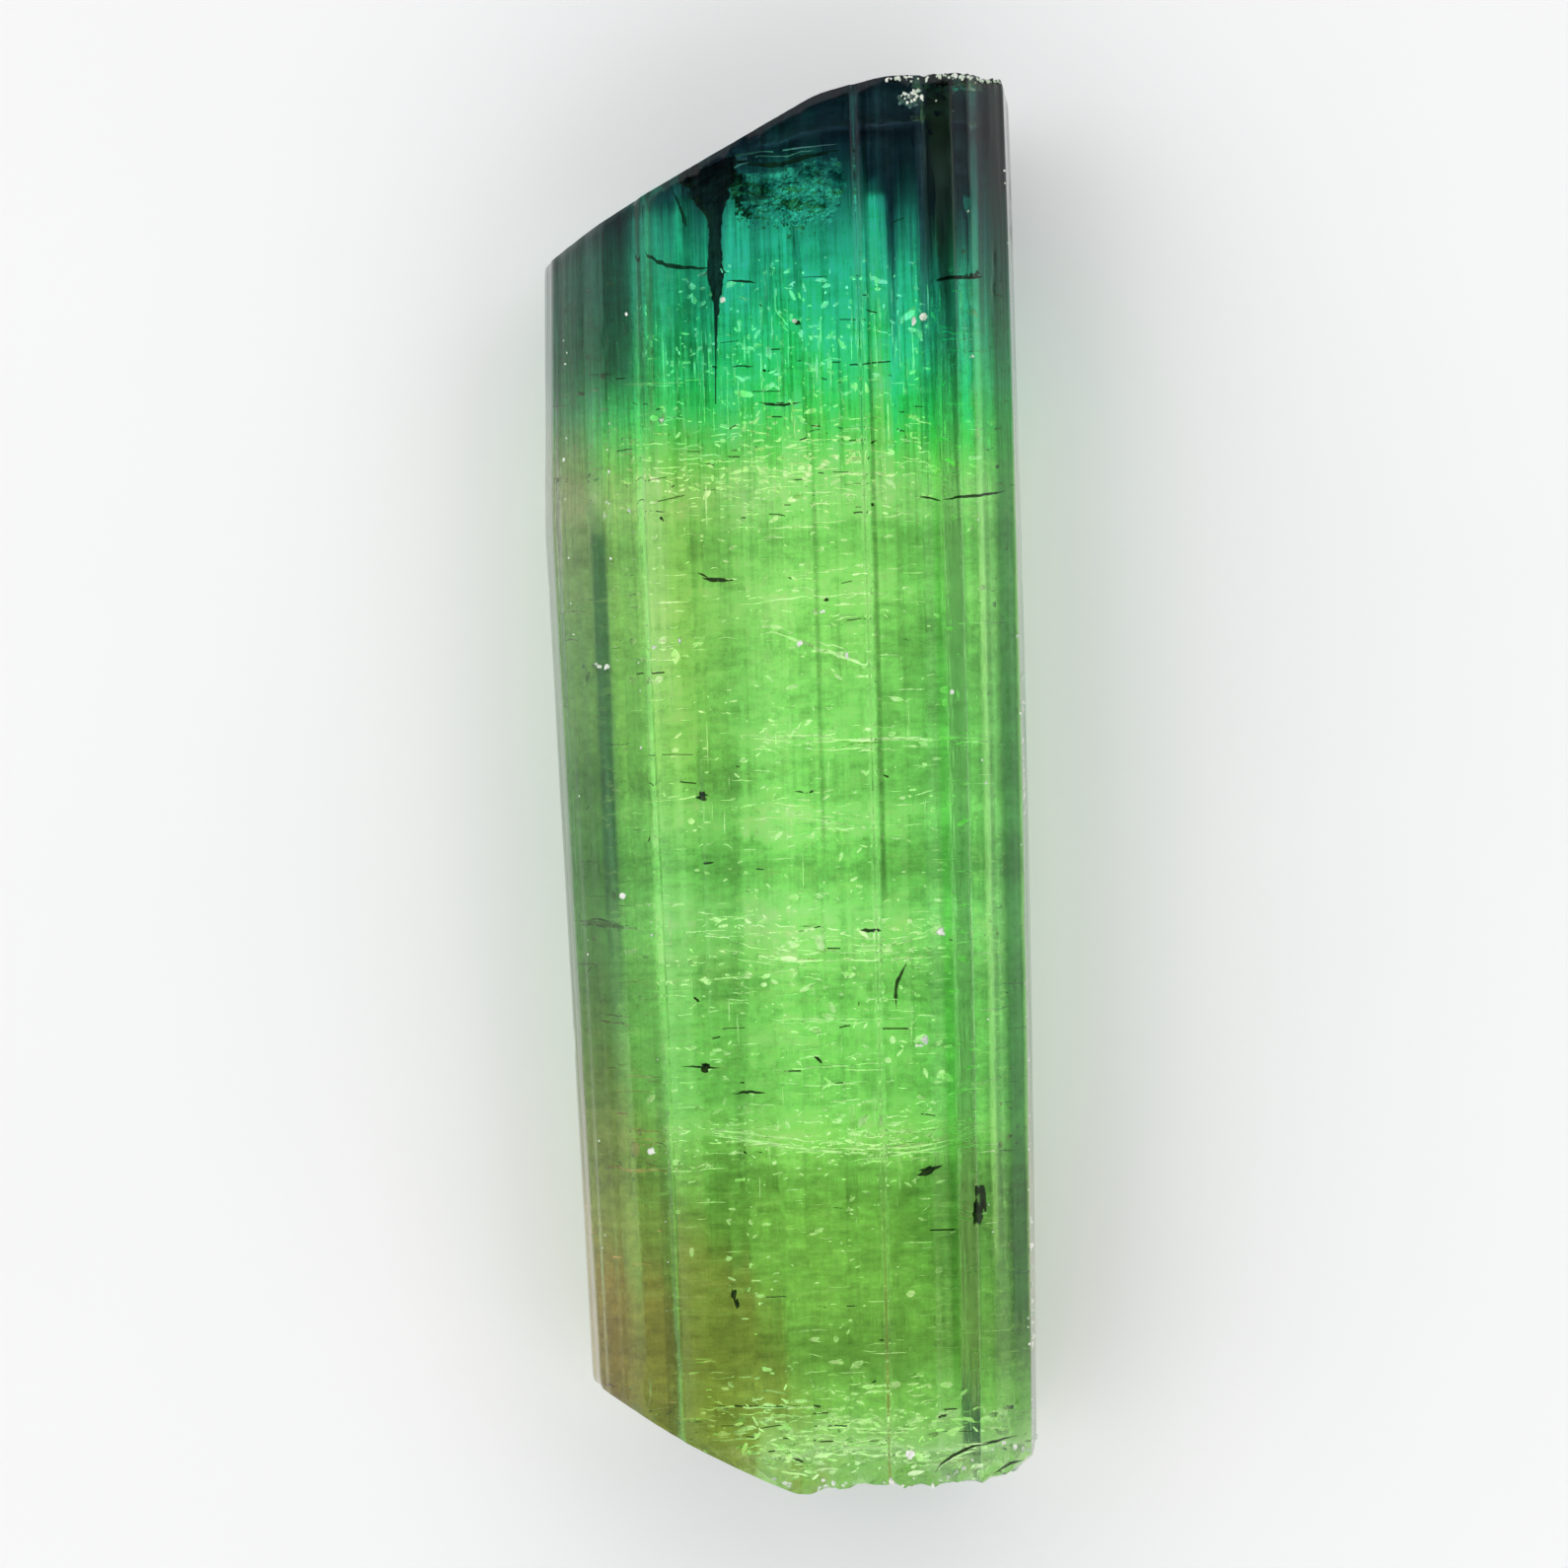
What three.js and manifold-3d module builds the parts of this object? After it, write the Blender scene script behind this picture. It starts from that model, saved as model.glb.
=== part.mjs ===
// A tourmaline crystal lying on its widest back prism face, as a three.js scene graph.
// Millimetres, +Z up. The c-axis (the long axis) runs along Y with the dark blue end at +Y.
// The origin is the centre of the bounding box in X and Y, on the plane that the crystal rests on.
//
// The crystal grew as one piece, so it is one mesh: a flattened, nearly six-sided prism with narrow
// bevel faces between the broad ones, fine growth steps that run the whole length, a sloping
// rhombohedron face and a small basal plane at the top, and at the other end a second sloping face
// beside a rough break.

import * as THREE from "three";
import { mergeVertices } from "three/addons/utils/BufferGeometryUtils.js";
import Module from "manifold-3d";

// ---- driving dimensions -------------------------------------------------------------------
const HEIGHT = 10.6; // thickness of the prism at mid length, resting face to front face
const HALF_LEFT = 7.25; // half width on the -X side at the knee, where it is widest
const LEFT_KNEE = 8; // the y at which the -X side bends
const HALF_RIGHT = 7.2; // half width on the +X side at mid length
const RING_YS = [-24, -20, -16, -12, -8, -4, 0, 4, 8, 12, 16, 20, 24]; // sections along the prism
const GRIP = 60; // size of the blocks that cut the end faces
const COLOUR = 0x6fd06a;

// The prism swells gently along its length: the -X side is widest at the knee and narrows to both
// ends, and the +X side has a slight barrel.
const left = (y) =>
  HALF_LEFT - (y < LEFT_KNEE ? 0.0243 : 0.028) * Math.abs(y - LEFT_KNEE);
const right = (y) => HALF_RIGHT + 0.00955 * y - 0.000324 * y * y;
const height = (y) => HEIGHT * (1 + 0.0011 * y);

// Corners of the cross-section, from the -X edge over the front and back along the resting side.
// x is a share of the half width, z a share of the height. The last two numbers are for the face
// that starts there: how many growth steps it has, and how deep they are in mm.
const SECTION = [
  [-1.0, 0.5, 1, 0.0],
  [-0.96, 0.675, 2, 0.03],
  [-0.9, 0.75, 4, 0.06],
  [-0.62, 0.945, 1, 0.0],
  [-0.585, 0.957, 1, 0.0],
  [-0.57, 0.976, 3, 0.04],
  [-0.38, 0.986, 7, 0.05],
  [0.33, 1.0, 1, 0.0],
  [0.347, 0.986, 5, 0.05],
  [0.74, 0.976, 1, 0.0],
  [0.8, 0.955, 2, 0.04],
  [0.9, 0.865, 3, 0.04],
  [0.968, 0.8, 1, 0.0],
  [1.0, 0.52, 1, 0.0],
  [0.975, 0.38, 3, 0.05],
  [0.86, 0.17, 3, 0.05],
  [0.66, 0.025, 1, 0.0],
  [0.6, 0.0, 1, 0.0],
  [-0.46, 0.0, 1, 0.0],
  [-0.54, 0.03, 3, 0.05],
  [-0.78, 0.17, 3, 0.05],
  [-0.95, 0.38, 1, 0.0],
];

// End faces. Each keeps y <= a + bx * x + bz * z at the top, or y >= at the bottom.
const TOP_FACES = [
  { a: 19.78, bx: 0.54, bz: 0.0 }, // the broad sloping rhombohedron face
  { a: 20.16, bx: 0.61, bz: 0.0 }, // the same face, steeper beside the -X edge
  { a: 19.63, bx: 0.25, bz: 0.05 }, // narrow face between it and the basal plane
  { a: 20.03, bx: 0.035, bz: 0.08 }, // basal plane, leaning back under the front face
  { a: 34.2, bx: -1.9, bz: 0.0 }, // worn corner on the right
];
const BOTTOM_FACES = [
  { a: -21.81, bx: -0.593, bz: 0.0 }, // the broad sloping face, in three slightly turned parts
  { a: -21.535, bx: -0.51, bz: 0.0 },
  { a: -21.406, bx: -0.42, bz: 0.0 },
  { a: -20.644, bx: 0.01, bz: -0.06 }, // rough break, nearly square to the length
  { a: -35.5, bx: 0.7, bz: 1.1 }, // chip out of the front edge
  { a: -26.7, bx: 0.9, bz: 0.02 }, // worn corner on the right
];

// ---- the cross-section ---------------------------------------------------------------------
// A face with steps zigzags inwards by the step depth, so the outer ridges stay on the face.
function sectionPoints() {
  const points = [];
  SECTION.forEach(([x, z, steps, depth], i) => {
    const [nx, nz] = SECTION[(i + 1) % SECTION.length];
    const dx = (nx - x) * HALF_RIGHT;
    const dz = (nz - z) * HEIGHT;
    const length = Math.hypot(dx, dz);
    const inX = dz / length / HALF_RIGHT; // inward normal of the face, as shares
    const inZ = -dx / length / HEIGHT;
    for (let k = 0; k < steps; k++) {
      const t = k / steps;
      points.push([x + (nx - x) * t, z + (nz - z) * t]);
      if (steps > 1) {
        const riser = (k + 0.78 + 0.1 * Math.sin(3.1 * k + i)) / steps;
        points.push([
          x + (nx - x) * riser + inX * depth,
          z + (nz - z) * riser + inZ * depth,
        ]);
      }
    }
  });
  return points;
}

// ---- the prism ----------------------------------------------------------------------------
function prismGeometry() {
  const section = sectionPoints();
  const n = section.length;
  const position = [];
  for (const y of RING_YS)
    for (const [x, z] of section)
      position.push(x * (x < 0 ? left(y) : right(y)), y, z * height(y));
  const index = [];
  for (let r = 0; r + 1 < RING_YS.length; r++)
    for (let i = 0; i < n; i++) {
      const j = (i + 1) % n;
      const a = r * n + i,
        b = r * n + j,
        c = (r + 1) * n + i,
        d = (r + 1) * n + j;
      index.push(a, c, b, b, c, d);
    }
  // the two ends, triangulated as flat shapes; the cuts below remove them
  const flat = section.map(([x, z]) => new THREE.Vector2(x, z));
  const faces = THREE.ShapeUtils.triangulateShape(flat, []);
  const last = (RING_YS.length - 1) * n;
  const clockwise = THREE.ShapeUtils.isClockWise(flat);
  for (const [a, b, c] of faces) {
    if (clockwise) {
      index.push(a, c, b);
      index.push(last + a, last + b, last + c);
    } else {
      index.push(a, b, c);
      index.push(last + a, last + c, last + b);
    }
  }
  const g = new THREE.BufferGeometry();
  g.setAttribute("position", new THREE.Float32BufferAttribute(position, 3));
  g.setIndex(index);
  return g;
}

// ---- solids -------------------------------------------------------------------------------
const wasm = await Module();
wasm.setup();

function solid(geometry) {
  const g = geometry.clone();
  g.deleteAttribute("normal");
  g.deleteAttribute("uv");
  const merged = mergeVertices(g, 1e-4);
  const make = (tris) =>
    new wasm.Manifold(
      new wasm.Mesh({
        numProp: 3,
        vertProperties: new Float32Array(merged.attributes.position.array),
        triVerts: tris,
      }),
    );
  const tris = new Uint32Array(merged.index.array);
  const made = make(tris);
  if (made.volume() > 0) return made;
  for (let i = 0; i < tris.length; i += 3)
    [tris[i + 1], tris[i + 2]] = [tris[i + 2], tris[i + 1]];
  return make(tris);
}

// A block whose face lies on the plane y = a + bx x + bz z, on its outer side.
function block({ a, bx, bz }, side) {
  const normal = new THREE.Vector3(-bx, 1, -bz).normalize();
  if (side < 0) normal.negate();
  const turn = new THREE.Quaternion().setFromUnitVectors(
    new THREE.Vector3(0, 1, 0),
    normal,
  );
  const box = new THREE.BoxGeometry(GRIP, GRIP, GRIP);
  box.translate(0, GRIP / 2, 0);
  box.applyQuaternion(turn);
  box.translate(0, a, 0);
  return solid(box);
}

let crystal = solid(prismGeometry());
for (const face of TOP_FACES) crystal = crystal.subtract(block(face, 1));
for (const face of BOTTOM_FACES) crystal = crystal.subtract(block(face, -1));

function geometryOf(made) {
  const m = made.getMesh();
  const position = new Float32Array(m.numVert * 3);
  for (let i = 0; i < m.numVert; i++)
    position.set(
      m.vertProperties.subarray(i * m.numProp, i * m.numProp + 3),
      i * 3,
    );
  const g = new THREE.BufferGeometry();
  g.setAttribute("position", new THREE.BufferAttribute(position, 3));
  g.setIndex(new THREE.BufferAttribute(new Uint32Array(m.triVerts), 1));
  return g;
}

const geometry = geometryOf(crystal);
geometry.computeBoundingBox();
const box = geometry.boundingBox;

const tourmaline = new THREE.Mesh(
  geometry,
  new THREE.MeshStandardMaterial({
    color: COLOUR,
    roughness: 0.12,
    metalness: 0.0,
    transparent: true,
    opacity: 0.6,
    flatShading: true,
  }),
);
tourmaline.name = "tourmaline_crystal";
tourmaline.position.set(
  -(box.min.x + box.max.x) / 2,
  -(box.min.y + box.max.y) / 2,
  -box.min.z,
);

const part = new THREE.Group();
part.add(tourmaline);

export default part;
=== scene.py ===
"""Looks of the tourmaline crystal: its detailed surface, what is sealed inside it, a pale floor, soft light, camera.

Lengths are in millimetres until a mesh is made. "Raw" means the crystal's own construction frame, with the
c-axis along Y through x = 0; SHIFT moves it to the row frame, whose origin is the middle of the resting box.
"""

import math

import bpy
import numpy as np
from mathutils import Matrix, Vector
from mathutils.geometry import delaunay_2d_cdt


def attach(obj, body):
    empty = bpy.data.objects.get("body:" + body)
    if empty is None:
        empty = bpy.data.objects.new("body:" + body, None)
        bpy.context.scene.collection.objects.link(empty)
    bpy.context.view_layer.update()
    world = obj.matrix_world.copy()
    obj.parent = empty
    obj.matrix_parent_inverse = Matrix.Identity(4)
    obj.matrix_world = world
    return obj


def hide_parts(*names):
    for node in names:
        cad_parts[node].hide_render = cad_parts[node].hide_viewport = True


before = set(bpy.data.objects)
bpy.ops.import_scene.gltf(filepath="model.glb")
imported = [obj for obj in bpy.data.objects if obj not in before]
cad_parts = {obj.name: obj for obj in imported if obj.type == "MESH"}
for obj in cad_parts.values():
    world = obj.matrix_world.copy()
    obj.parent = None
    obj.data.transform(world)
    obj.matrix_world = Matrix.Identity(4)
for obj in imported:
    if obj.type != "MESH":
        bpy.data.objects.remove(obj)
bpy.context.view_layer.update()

MM = 0.001
SHIFT = np.array([-0.0099, 0.0991, 0.0])

# ---------------------------------------------------------------------------------------------
# the crystal's form
# ---------------------------------------------------------------------------------------------
HEIGHT = 10.6

# corners of the cross-section, from the -X edge over the front and back along the resting side:
# share of the half width, share of the height, and how many mesh columns a millimetre has from there
SECTION = [
    (-1.0, 0.5, 12),
    (-0.96, 0.665, 13),
    (-0.9, 0.735, 14),
    (-0.735, 0.885, 15),
    (-0.6, 0.95, 20),
    (-0.57, 0.974, 16),
    (-0.38, 0.986, 16),
    (0.33, 1.0, 24),
    (0.347, 0.986, 16),
    (0.74, 0.976, 18),
    (0.8, 0.955, 16),
    (0.9, 0.865, 14),
    (0.968, 0.8, 12),
    (1.0, 0.52, 10),
    (0.975, 0.38, 9),
    (0.86, 0.17, 9),
    (0.66, 0.025, 9),
    (0.6, 0.0, 8),
    (-0.46, 0.0, 9),
    (-0.54, 0.03, 9),
    (-0.78, 0.17, 9),
    (-0.95, 0.38, 10),
]

TOP_FACES = [
    (19.78, 0.54, 0.0),
    (20.16, 0.61, 0.0),
    (19.63, 0.25, 0.05),
    (20.03, 0.035, 0.08),
    (34.2, -1.9, 0.0),
]
BOTTOM_FACES = [
    (-21.81, -0.593, 0.0),
    (-21.535, -0.51, 0.0),
    (-21.406, -0.42, 0.0),
    (-20.644, 0.01, -0.06),
    (-35.5, 0.7, 1.1),
    (-26.7, 0.9, 0.02),
]
BREAKS = (3, 4, 5)  # which of the bottom faces are rough breaks


def half_left(y):
    return 7.25 - np.where(y < 8, 0.0243, 0.028) * np.abs(y - 8)


def half_right(y):
    return 7.2 + 0.00955 * y - 0.000324 * y * y


def height(y):
    return HEIGHT * (1 + 0.0011 * y)


# ---------------------------------------------------------------------------------------------
# seeded noise
# ---------------------------------------------------------------------------------------------
def lattice(ix, iy, iz, seed):
    """A fixed random number from 0 to 1 for each whole-number point."""
    with np.errstate(over="ignore"):
        h = (
            ix.astype(np.int64).astype(np.uint32) * np.uint32(374761393)
            + iy.astype(np.int64).astype(np.uint32) * np.uint32(668265263)
            + iz.astype(np.int64).astype(np.uint32) * np.uint32(2246822519)
            + np.uint32((seed * 3266489917) & 0xFFFFFFFF)
        )
        h = (h ^ (h >> np.uint32(13))) * np.uint32(1274126177)
        h = h ^ (h >> np.uint32(16))
    return h.astype(np.float64) / 4294967295.0


def noise3(x, y, z, seed):
    """Smooth noise from 0 to 1."""
    x, y, z = np.broadcast_arrays(
        np.asarray(x, float), np.asarray(y, float), np.asarray(z, float)
    )
    ix, iy, iz = np.floor(x), np.floor(y), np.floor(z)
    fx, fy, fz = [(f * f * (3 - 2 * f)) for f in (x - ix, y - iy, z - iz)]
    total = 0.0
    for dx in (0, 1):
        for dy in (0, 1):
            for dz in (0, 1):
                w = (
                    (fx if dx else 1 - fx)
                    * (fy if dy else 1 - fy)
                    * (fz if dz else 1 - fz)
                )
                total = total + w * lattice(ix + dx, iy + dy, iz + dz, seed)
    return total


def fbm(x, y, z, seed, octaves=4, gain=0.5):
    """Layered noise, roughly -1 to 1."""
    total, share, norm = 0.0, 1.0, 0.0
    for o in range(octaves):
        k = 2.03**o
        total = total + share * (noise3(x * k, y * k, z * k, seed + 17 * o) * 2 - 1)
        norm += share
        share *= gain
    return total / norm


def smooth(a, b, t):
    t = np.clip((t - a) / (b - a), 0, 1)
    return t * t * (3 - 2 * t)


# ---------------------------------------------------------------------------------------------
# end faces
# ---------------------------------------------------------------------------------------------
def top_y(x, z):
    """Height of the top end at (x, z), with fine etching, and a crumbled rim at the +X corner."""
    faces = np.stack([a + bx * x + bz * z for a, bx, bz in TOP_FACES])
    k = 0.035
    low = faces.min(0)
    y = low - k * np.log(np.exp(-(faces - low) / k).sum(0))
    y = y - 0.02 * (fbm(x * 0.9, z * 0.9, 0 * x, 11) + 0.6).clip(0)
    y = y - 0.012 * np.abs(fbm(x * 5.0, z * 3.0, 0 * x, 12, 3))
    crumble = smooth(3.6, 5.2, x) * smooth(4.5, 7.5, z)
    y = y - crumble * 0.22 * (fbm(x * 2.6, z * 2.6, 0 * x, 13, 4) + 0.15).clip(0)
    return y


def bottom_y(x, z):
    """The bottom end: a smooth sloping face at -X and a rough break over the rest."""
    faces = np.stack([a + bx * x + bz * z for a, bx, bz in BOTTOM_FACES])
    k = 0.05
    high = faces.max(0)
    y = high + k * np.log(np.exp((faces - high) / k).sum(0))
    rough = faces[list(BREAKS)].max(0) - faces[:3].max(0)
    rough = smooth(-0.1, 0.5, rough)
    shells = np.abs(fbm(x * 0.6 + 3.1, z * 0.2, 0 * x, 21, 2))  # curved shells
    ribs = np.abs(np.sin(2.6 * np.hypot(x - 7.5, (z - 3.0) * 0.4) + 2.5 * fbm(x, z * 0.3, 0 * x, 22, 2)))
    y = y + rough * (
        0.5 * shells
        + 0.05 * ribs
        + 0.24 * (fbm(x * 1.6, z * 0.5, 0 * x, 23, 4) * 0.5 + 0.3).clip(0)
        + 0.05 * fbm(x * 6, z * 2, 0 * x, 24, 2)
    )
    y = y + 0.014 * (1 - rough) * (1 + fbm(x * 2.2, z * 2.2, 0 * x, 25, 3))
    return y


# ---------------------------------------------------------------------------------------------
# the prism's cross-section, its growth lines and its knocks
# ---------------------------------------------------------------------------------------------
def section_loop():
    points, faces = [], []
    for i, (x, z, density) in enumerate(SECTION):
        nx, nz, _ = SECTION[(i + 1) % len(SECTION)]
        length = math.hypot((nx - x) * 7.2, (nz - z) * HEIGHT)
        count = max(int(round(length * density)), 2)
        for k in range(count):
            points.append((x + (nx - x) * k / count, z + (nz - z) * k / count))
            faces.append(i)
    p = np.array(points)
    for _ in range(2):  # the corners are very slightly rounded
        p = 0.5 * p + 0.25 * (np.roll(p, 1, 0) + np.roll(p, -1, 0))
    mm = p * (7.2, HEIGHT)
    ahead, behind = np.roll(mm, -1, 0) - mm, mm - np.roll(mm, 1, 0)
    step = np.linalg.norm(ahead, axis=1)
    along = ahead / step[:, None] + behind / np.roll(step, 1)[:, None]
    along /= np.linalg.norm(along, axis=1)[:, None]
    inward = np.stack([along[:, 1], -along[:, 0]], 1)
    run = np.concatenate([[0], np.cumsum(step)[:-1]])
    return p, inward, run, float(step.sum()), np.array(faces)


shares, inward, run, around, face_of = section_loop()
COLUMNS = len(shares)
ROWS = 128


def run_at(share):
    """Distance round the section at which the front side has this share of the half width."""
    front = np.where((face_of >= 1) & (face_of <= 12))[0]
    return float(np.interp(share, shares[front, 0], run[front]))


# share of half width, from y, to y, half width in mm and strength of the growth lines that stand out:
# dark ones are grooves with painted shade along them, and ones of negative strength are ridges that catch the light,
# shown as a painted highlight
LINES = [
    (-0.555, 11.5, 19.0, 0.05, 0.7),
    (-0.505, 11.5, 19.5, 0.045, 0.65),
    (-0.358, 12.5, 19.6, 0.05, 0.65),
    (-0.3, 11.0, 18.0, 0.03, 0.4),
    (-0.565, 3.5, 9.8, 0.05, -0.85),
    (-0.538, 3.0, 9.2, 0.04, -0.8),
    (-0.51, 3.8, 10.2, 0.045, -0.85),
    (-0.485, 2.4, 7.6, 0.03, -0.6),
    (-0.59, -1.0, 7.0, 0.04, 0.35),
    (-0.245, -11.0, 7.6, 0.2, 0.16),
    (-0.08, 4.2, 8.6, 0.1, 0.25),
    (0.02, 11.0, 16.0, 0.035, 0.4),
    (0.075, -13.0, 6.0, 0.16, 0.1),
    (0.128, -1.8, 13.4, 0.045, 0.62),
    (0.115, -5.6, -3.4, 0.045, 0.5),
    (0.215, 2.8, 8.3, 0.03, 0.3),
    (0.252, 9.0, 15.0, 0.03, 0.35),
    (0.375, -3.7, 21.4, 0.05, 0.8),
    (0.427, 18.0, 21.4, 0.04, -0.4),
    (0.462, -8.9, -0.5, 0.05, -0.35),
    (0.468, 3.2, 9.4, 0.035, 0.4),
    (0.485, -8.0, 9.6, 0.03, 0.3),
    (0.52, 9.0, 19.0, 0.03, 0.4),
    (0.62, 10.0, 20.0, 0.03, 0.35),
    (0.7, 12.0, 20.0, 0.03, 0.35),
    (0.815, -14.0, 21.4, 0.06, -0.75),
    (0.838, -14.0, 12.0, 0.05, 0.4),
    (0.972, -16.0, 16.0, 0.07, -0.35),
]


def growth_lines():
    """Centre, half width, riser width, depth, middle and half length of every growth line."""
    r = np.random.default_rng(41)
    out = []
    for _ in range(330):
        half = 10 ** r.uniform(-1.3, 0.1)
        out.append(
            (
                r.uniform(0, around),
                half,
                r.uniform(0.12, 0.26),
                r.uniform(0.003, 0.008) * r.choice([-1, 1]) * (1 + half),
                r.uniform(-26, 26),
                10 ** r.uniform(0.35, 1.6),
            )
        )
    for share, low, high, half, strength in LINES:
        out.append(
            (run_at(share), half, 0.09, 0.01 * strength, (low + high) / 2, (high - low) / 2)
        )
    return out


def relief(s, y, x, z):
    """How far the surface lies inside the ideal prism face, in mm."""
    total = 0.022 + 0.016 * fbm(s * 0.35, y * 0.08, 0 * s, 51, 2)
    for centre, half, riser, depth, middle, reach in growth_lines():
        away = np.abs((s - centre + around / 2) % around - around / 2)
        band = np.clip((half + riser - away) / riser, 0, 1)
        ends = np.clip((reach - np.abs(y - middle)) / (0.12 * reach + 0.4) + 0.5, 0, 1)
        total = total + depth * band * ends
    # dents and pits
    r = np.random.default_rng(43)
    for _ in range(46):
        centre, middle = r.uniform(0, around), r.uniform(-20, 20)
        wide, long = r.uniform(0.1, 0.3), r.uniform(0.12, 0.5)
        away = (s - centre + around / 2) % around - around / 2
        q = (away / wide) ** 2 + ((y - middle) / long) ** 2
        total = total + r.uniform(0.01, 0.045) * np.clip(1 - q, 0, 1)
    # chips out of the long edges
    corners = [run[np.argmax(face_of == i)] for i in (0, 3, 4, 10, 11, 13, 17, 18)]
    for _ in range(74):
        centre = corners[r.integers(len(corners))] + r.normal(0, 0.05)
        middle = r.uniform(-20, 21)
        wide, long = r.uniform(0.08, 0.22), r.uniform(0.1, 0.55)
        away = (s - centre + around / 2) % around - around / 2
        q = (away / wide) ** 2 + ((y - middle) / long) ** 2
        total = total + r.uniform(0.02, 0.07) * np.clip(1 - q, 0, 1)
    return np.maximum(total, 0.0)


def side_point(i_share, i_inward, s, y, end_gap):
    """Where a column's surface is at height y. end_gap is the distance to the nearer end."""
    px, pz = i_share
    x = px * np.where(px < 0, half_left(y), half_right(y))
    z = pz * height(y)
    d = relief(s, y, x, z)
    worn = 0.05 + 0.05 * fbm(s * 1.3, 0 * s + np.sign(y) * 5, 0 * s, 61, 3)
    d = d + worn * np.exp(-end_gap / 0.09)
    return x + i_inward[0] * d, z + i_inward[1] * d


def crystal_mesh():
    n = COLUMNS
    px, pz = shares[:, 0], shares[:, 1]
    # where each column meets the two ends
    ends = []
    for find, y in ((bottom_y, np.full(n, -20.0)), (top_y, np.full(n, 20.0))):
        for _ in range(6):
            x, z = side_point((px, pz), inward.T, run, y, np.zeros(n))
            y = find(x, z)
        ends.append(y)
    low, high = ends
    t = np.linspace(0, 1, ROWS + 1)
    t = 0.55 * t + 0.45 * (0.5 - 0.5 * np.cos(np.pi * t))
    y = low[None] + (high - low)[None] * t[:, None]
    gap = np.minimum(y - low[None], high[None] - y)
    full = (ROWS + 1, n)
    x, z = side_point(
        (np.broadcast_to(px, full), np.broadcast_to(pz, full)),
        (np.broadcast_to(inward[:, 0], full), np.broadcast_to(inward[:, 1], full)),
        np.broadcast_to(run, full),
        y,
        gap,
    )
    z = np.maximum(z, 0.0)
    verts = np.stack([x, y, z], -1).reshape(-1, 3)
    faces = []
    for r in range(ROWS):
        a = r * n + np.arange(n)
        b = r * n + (np.arange(n) + 1) % n
        faces.append(np.stack([a, b, b + n, a + n], 1))
    quads = np.concatenate(faces)
    caps = []
    extra = []
    start = len(verts)
    for ring, find, seed in ((0, bottom_y, 71), (ROWS, top_y, 72)):
        loop = verts[ring * n : (ring + 1) * n][:, [0, 2]]
        inner = points_inside(loop, 0.118, seed)
        flat = np.concatenate([loop, inner])
        edges = [(i, (i + 1) % n) for i in range(n)]
        out = delaunay_2d_cdt(
            [Vector(p) for p in flat], edges, [], 1, 1e-7, True
        )
        origin = [o[0] for o in out[3]]
        number = {
            k: (ring * n + o if o < n else start + o - n)
            for k, o in enumerate(origin)
        }
        ys = find(inner[:, 0], inner[:, 1])
        extra.append(np.stack([inner[:, 0], ys, inner[:, 1]], 1))
        # slivers that bridge the grooves lie outside the outline, and are left out
        middle = np.array([np.mean([out[0][k] for k in f], axis=0) for f in out[2]])
        kept = inside_outline(loop, middle)
        tris = [[number[k] for k in f] for f, k_in in zip(out[2], kept, strict=True) if k_in]
        caps.append((tris, ring))
        start += len(inner)
    verts = np.concatenate([verts] + extra)
    polygons = [list(map(int, q)) for q in quads]
    side_volume = 0.0
    for tris, ring in caps:
        t = np.array(tris)
        v = verts[t]
        facing = np.cross(v[:, 1] - v[:, 0], v[:, 2] - v[:, 0])[:, 1]
        want = 1 if ring else -1
        for tri, f in zip(tris, facing, strict=True):
            polygons.append(tri if f * want > 0 else tri[::-1])
    # the side quads turn the way that gives outward faces
    q = verts[quads[(ROWS // 2) * n : (ROWS // 2 + 1) * n]]
    normal = np.cross(q[:, 1] - q[:, 0], q[:, 3] - q[:, 0])
    outward = q.mean(1) - q.mean((0, 1))
    if (normal * outward)[:, [0, 2]].sum() < 0:
        polygons[: len(quads)] = [p[::-1] for p in polygons[: len(quads)]]
    return verts, polygons


def inside_outline(loop, p):
    """Which of the points p lie inside a closed outline."""
    inside = np.zeros(len(p), bool)
    for a, b in zip(loop, np.roll(loop, -1, 0), strict=True):
        crosses = (a[1] > p[:, 1]) != (b[1] > p[:, 1])
        slope = (b[0] - a[0]) / (b[1] - a[1]) if b[1] != a[1] else 0.0
        inside ^= crosses & (p[:, 0] < a[0] + (p[:, 1] - a[1]) * slope)
    return inside


def points_inside(loop, pitch, seed):
    """Jittered grid points inside a closed outline and clear of it."""
    r = np.random.default_rng(seed)
    low, high = loop.min(0), loop.max(0)
    gx, gz = np.meshgrid(
        np.arange(low[0], high[0], pitch), np.arange(low[1], high[1], pitch * 0.87)
    )
    gx[1::2] += pitch / 2
    p = np.stack([gx.ravel(), gz.ravel()], 1)
    p += r.uniform(-0.22, 0.22, p.shape) * pitch
    a, b = loop, np.roll(loop, -1, 0)
    keep = np.zeros(len(p), bool)
    near = np.full(len(p), 1e9)
    for i in range(len(a)):
        crosses = (a[i, 1] > p[:, 1]) != (b[i, 1] > p[:, 1])
        if crosses.any():
            at = a[i, 0] + (p[:, 1] - a[i, 1]) * (b[i, 0] - a[i, 0]) / (
                b[i, 1] - a[i, 1] + 1e-12
            )
            keep ^= crosses & (p[:, 0] < at)
        near = np.minimum(near, np.hypot(p[:, 0] - a[i, 0], p[:, 1] - a[i, 1]))
    return p[keep & (near > pitch * 0.55)]


def make_object(name, verts, polygons, material, shift=SHIFT):
    mesh = bpy.data.meshes.new(name)
    mesh.from_pydata(((np.asarray(verts) + shift) * MM).tolist(), [], polygons)
    mesh.validate()
    mesh.update()
    mesh.materials.append(material)
    ob = bpy.data.objects.new(name, mesh)
    bpy.context.scene.collection.objects.link(ob)
    return ob


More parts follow.
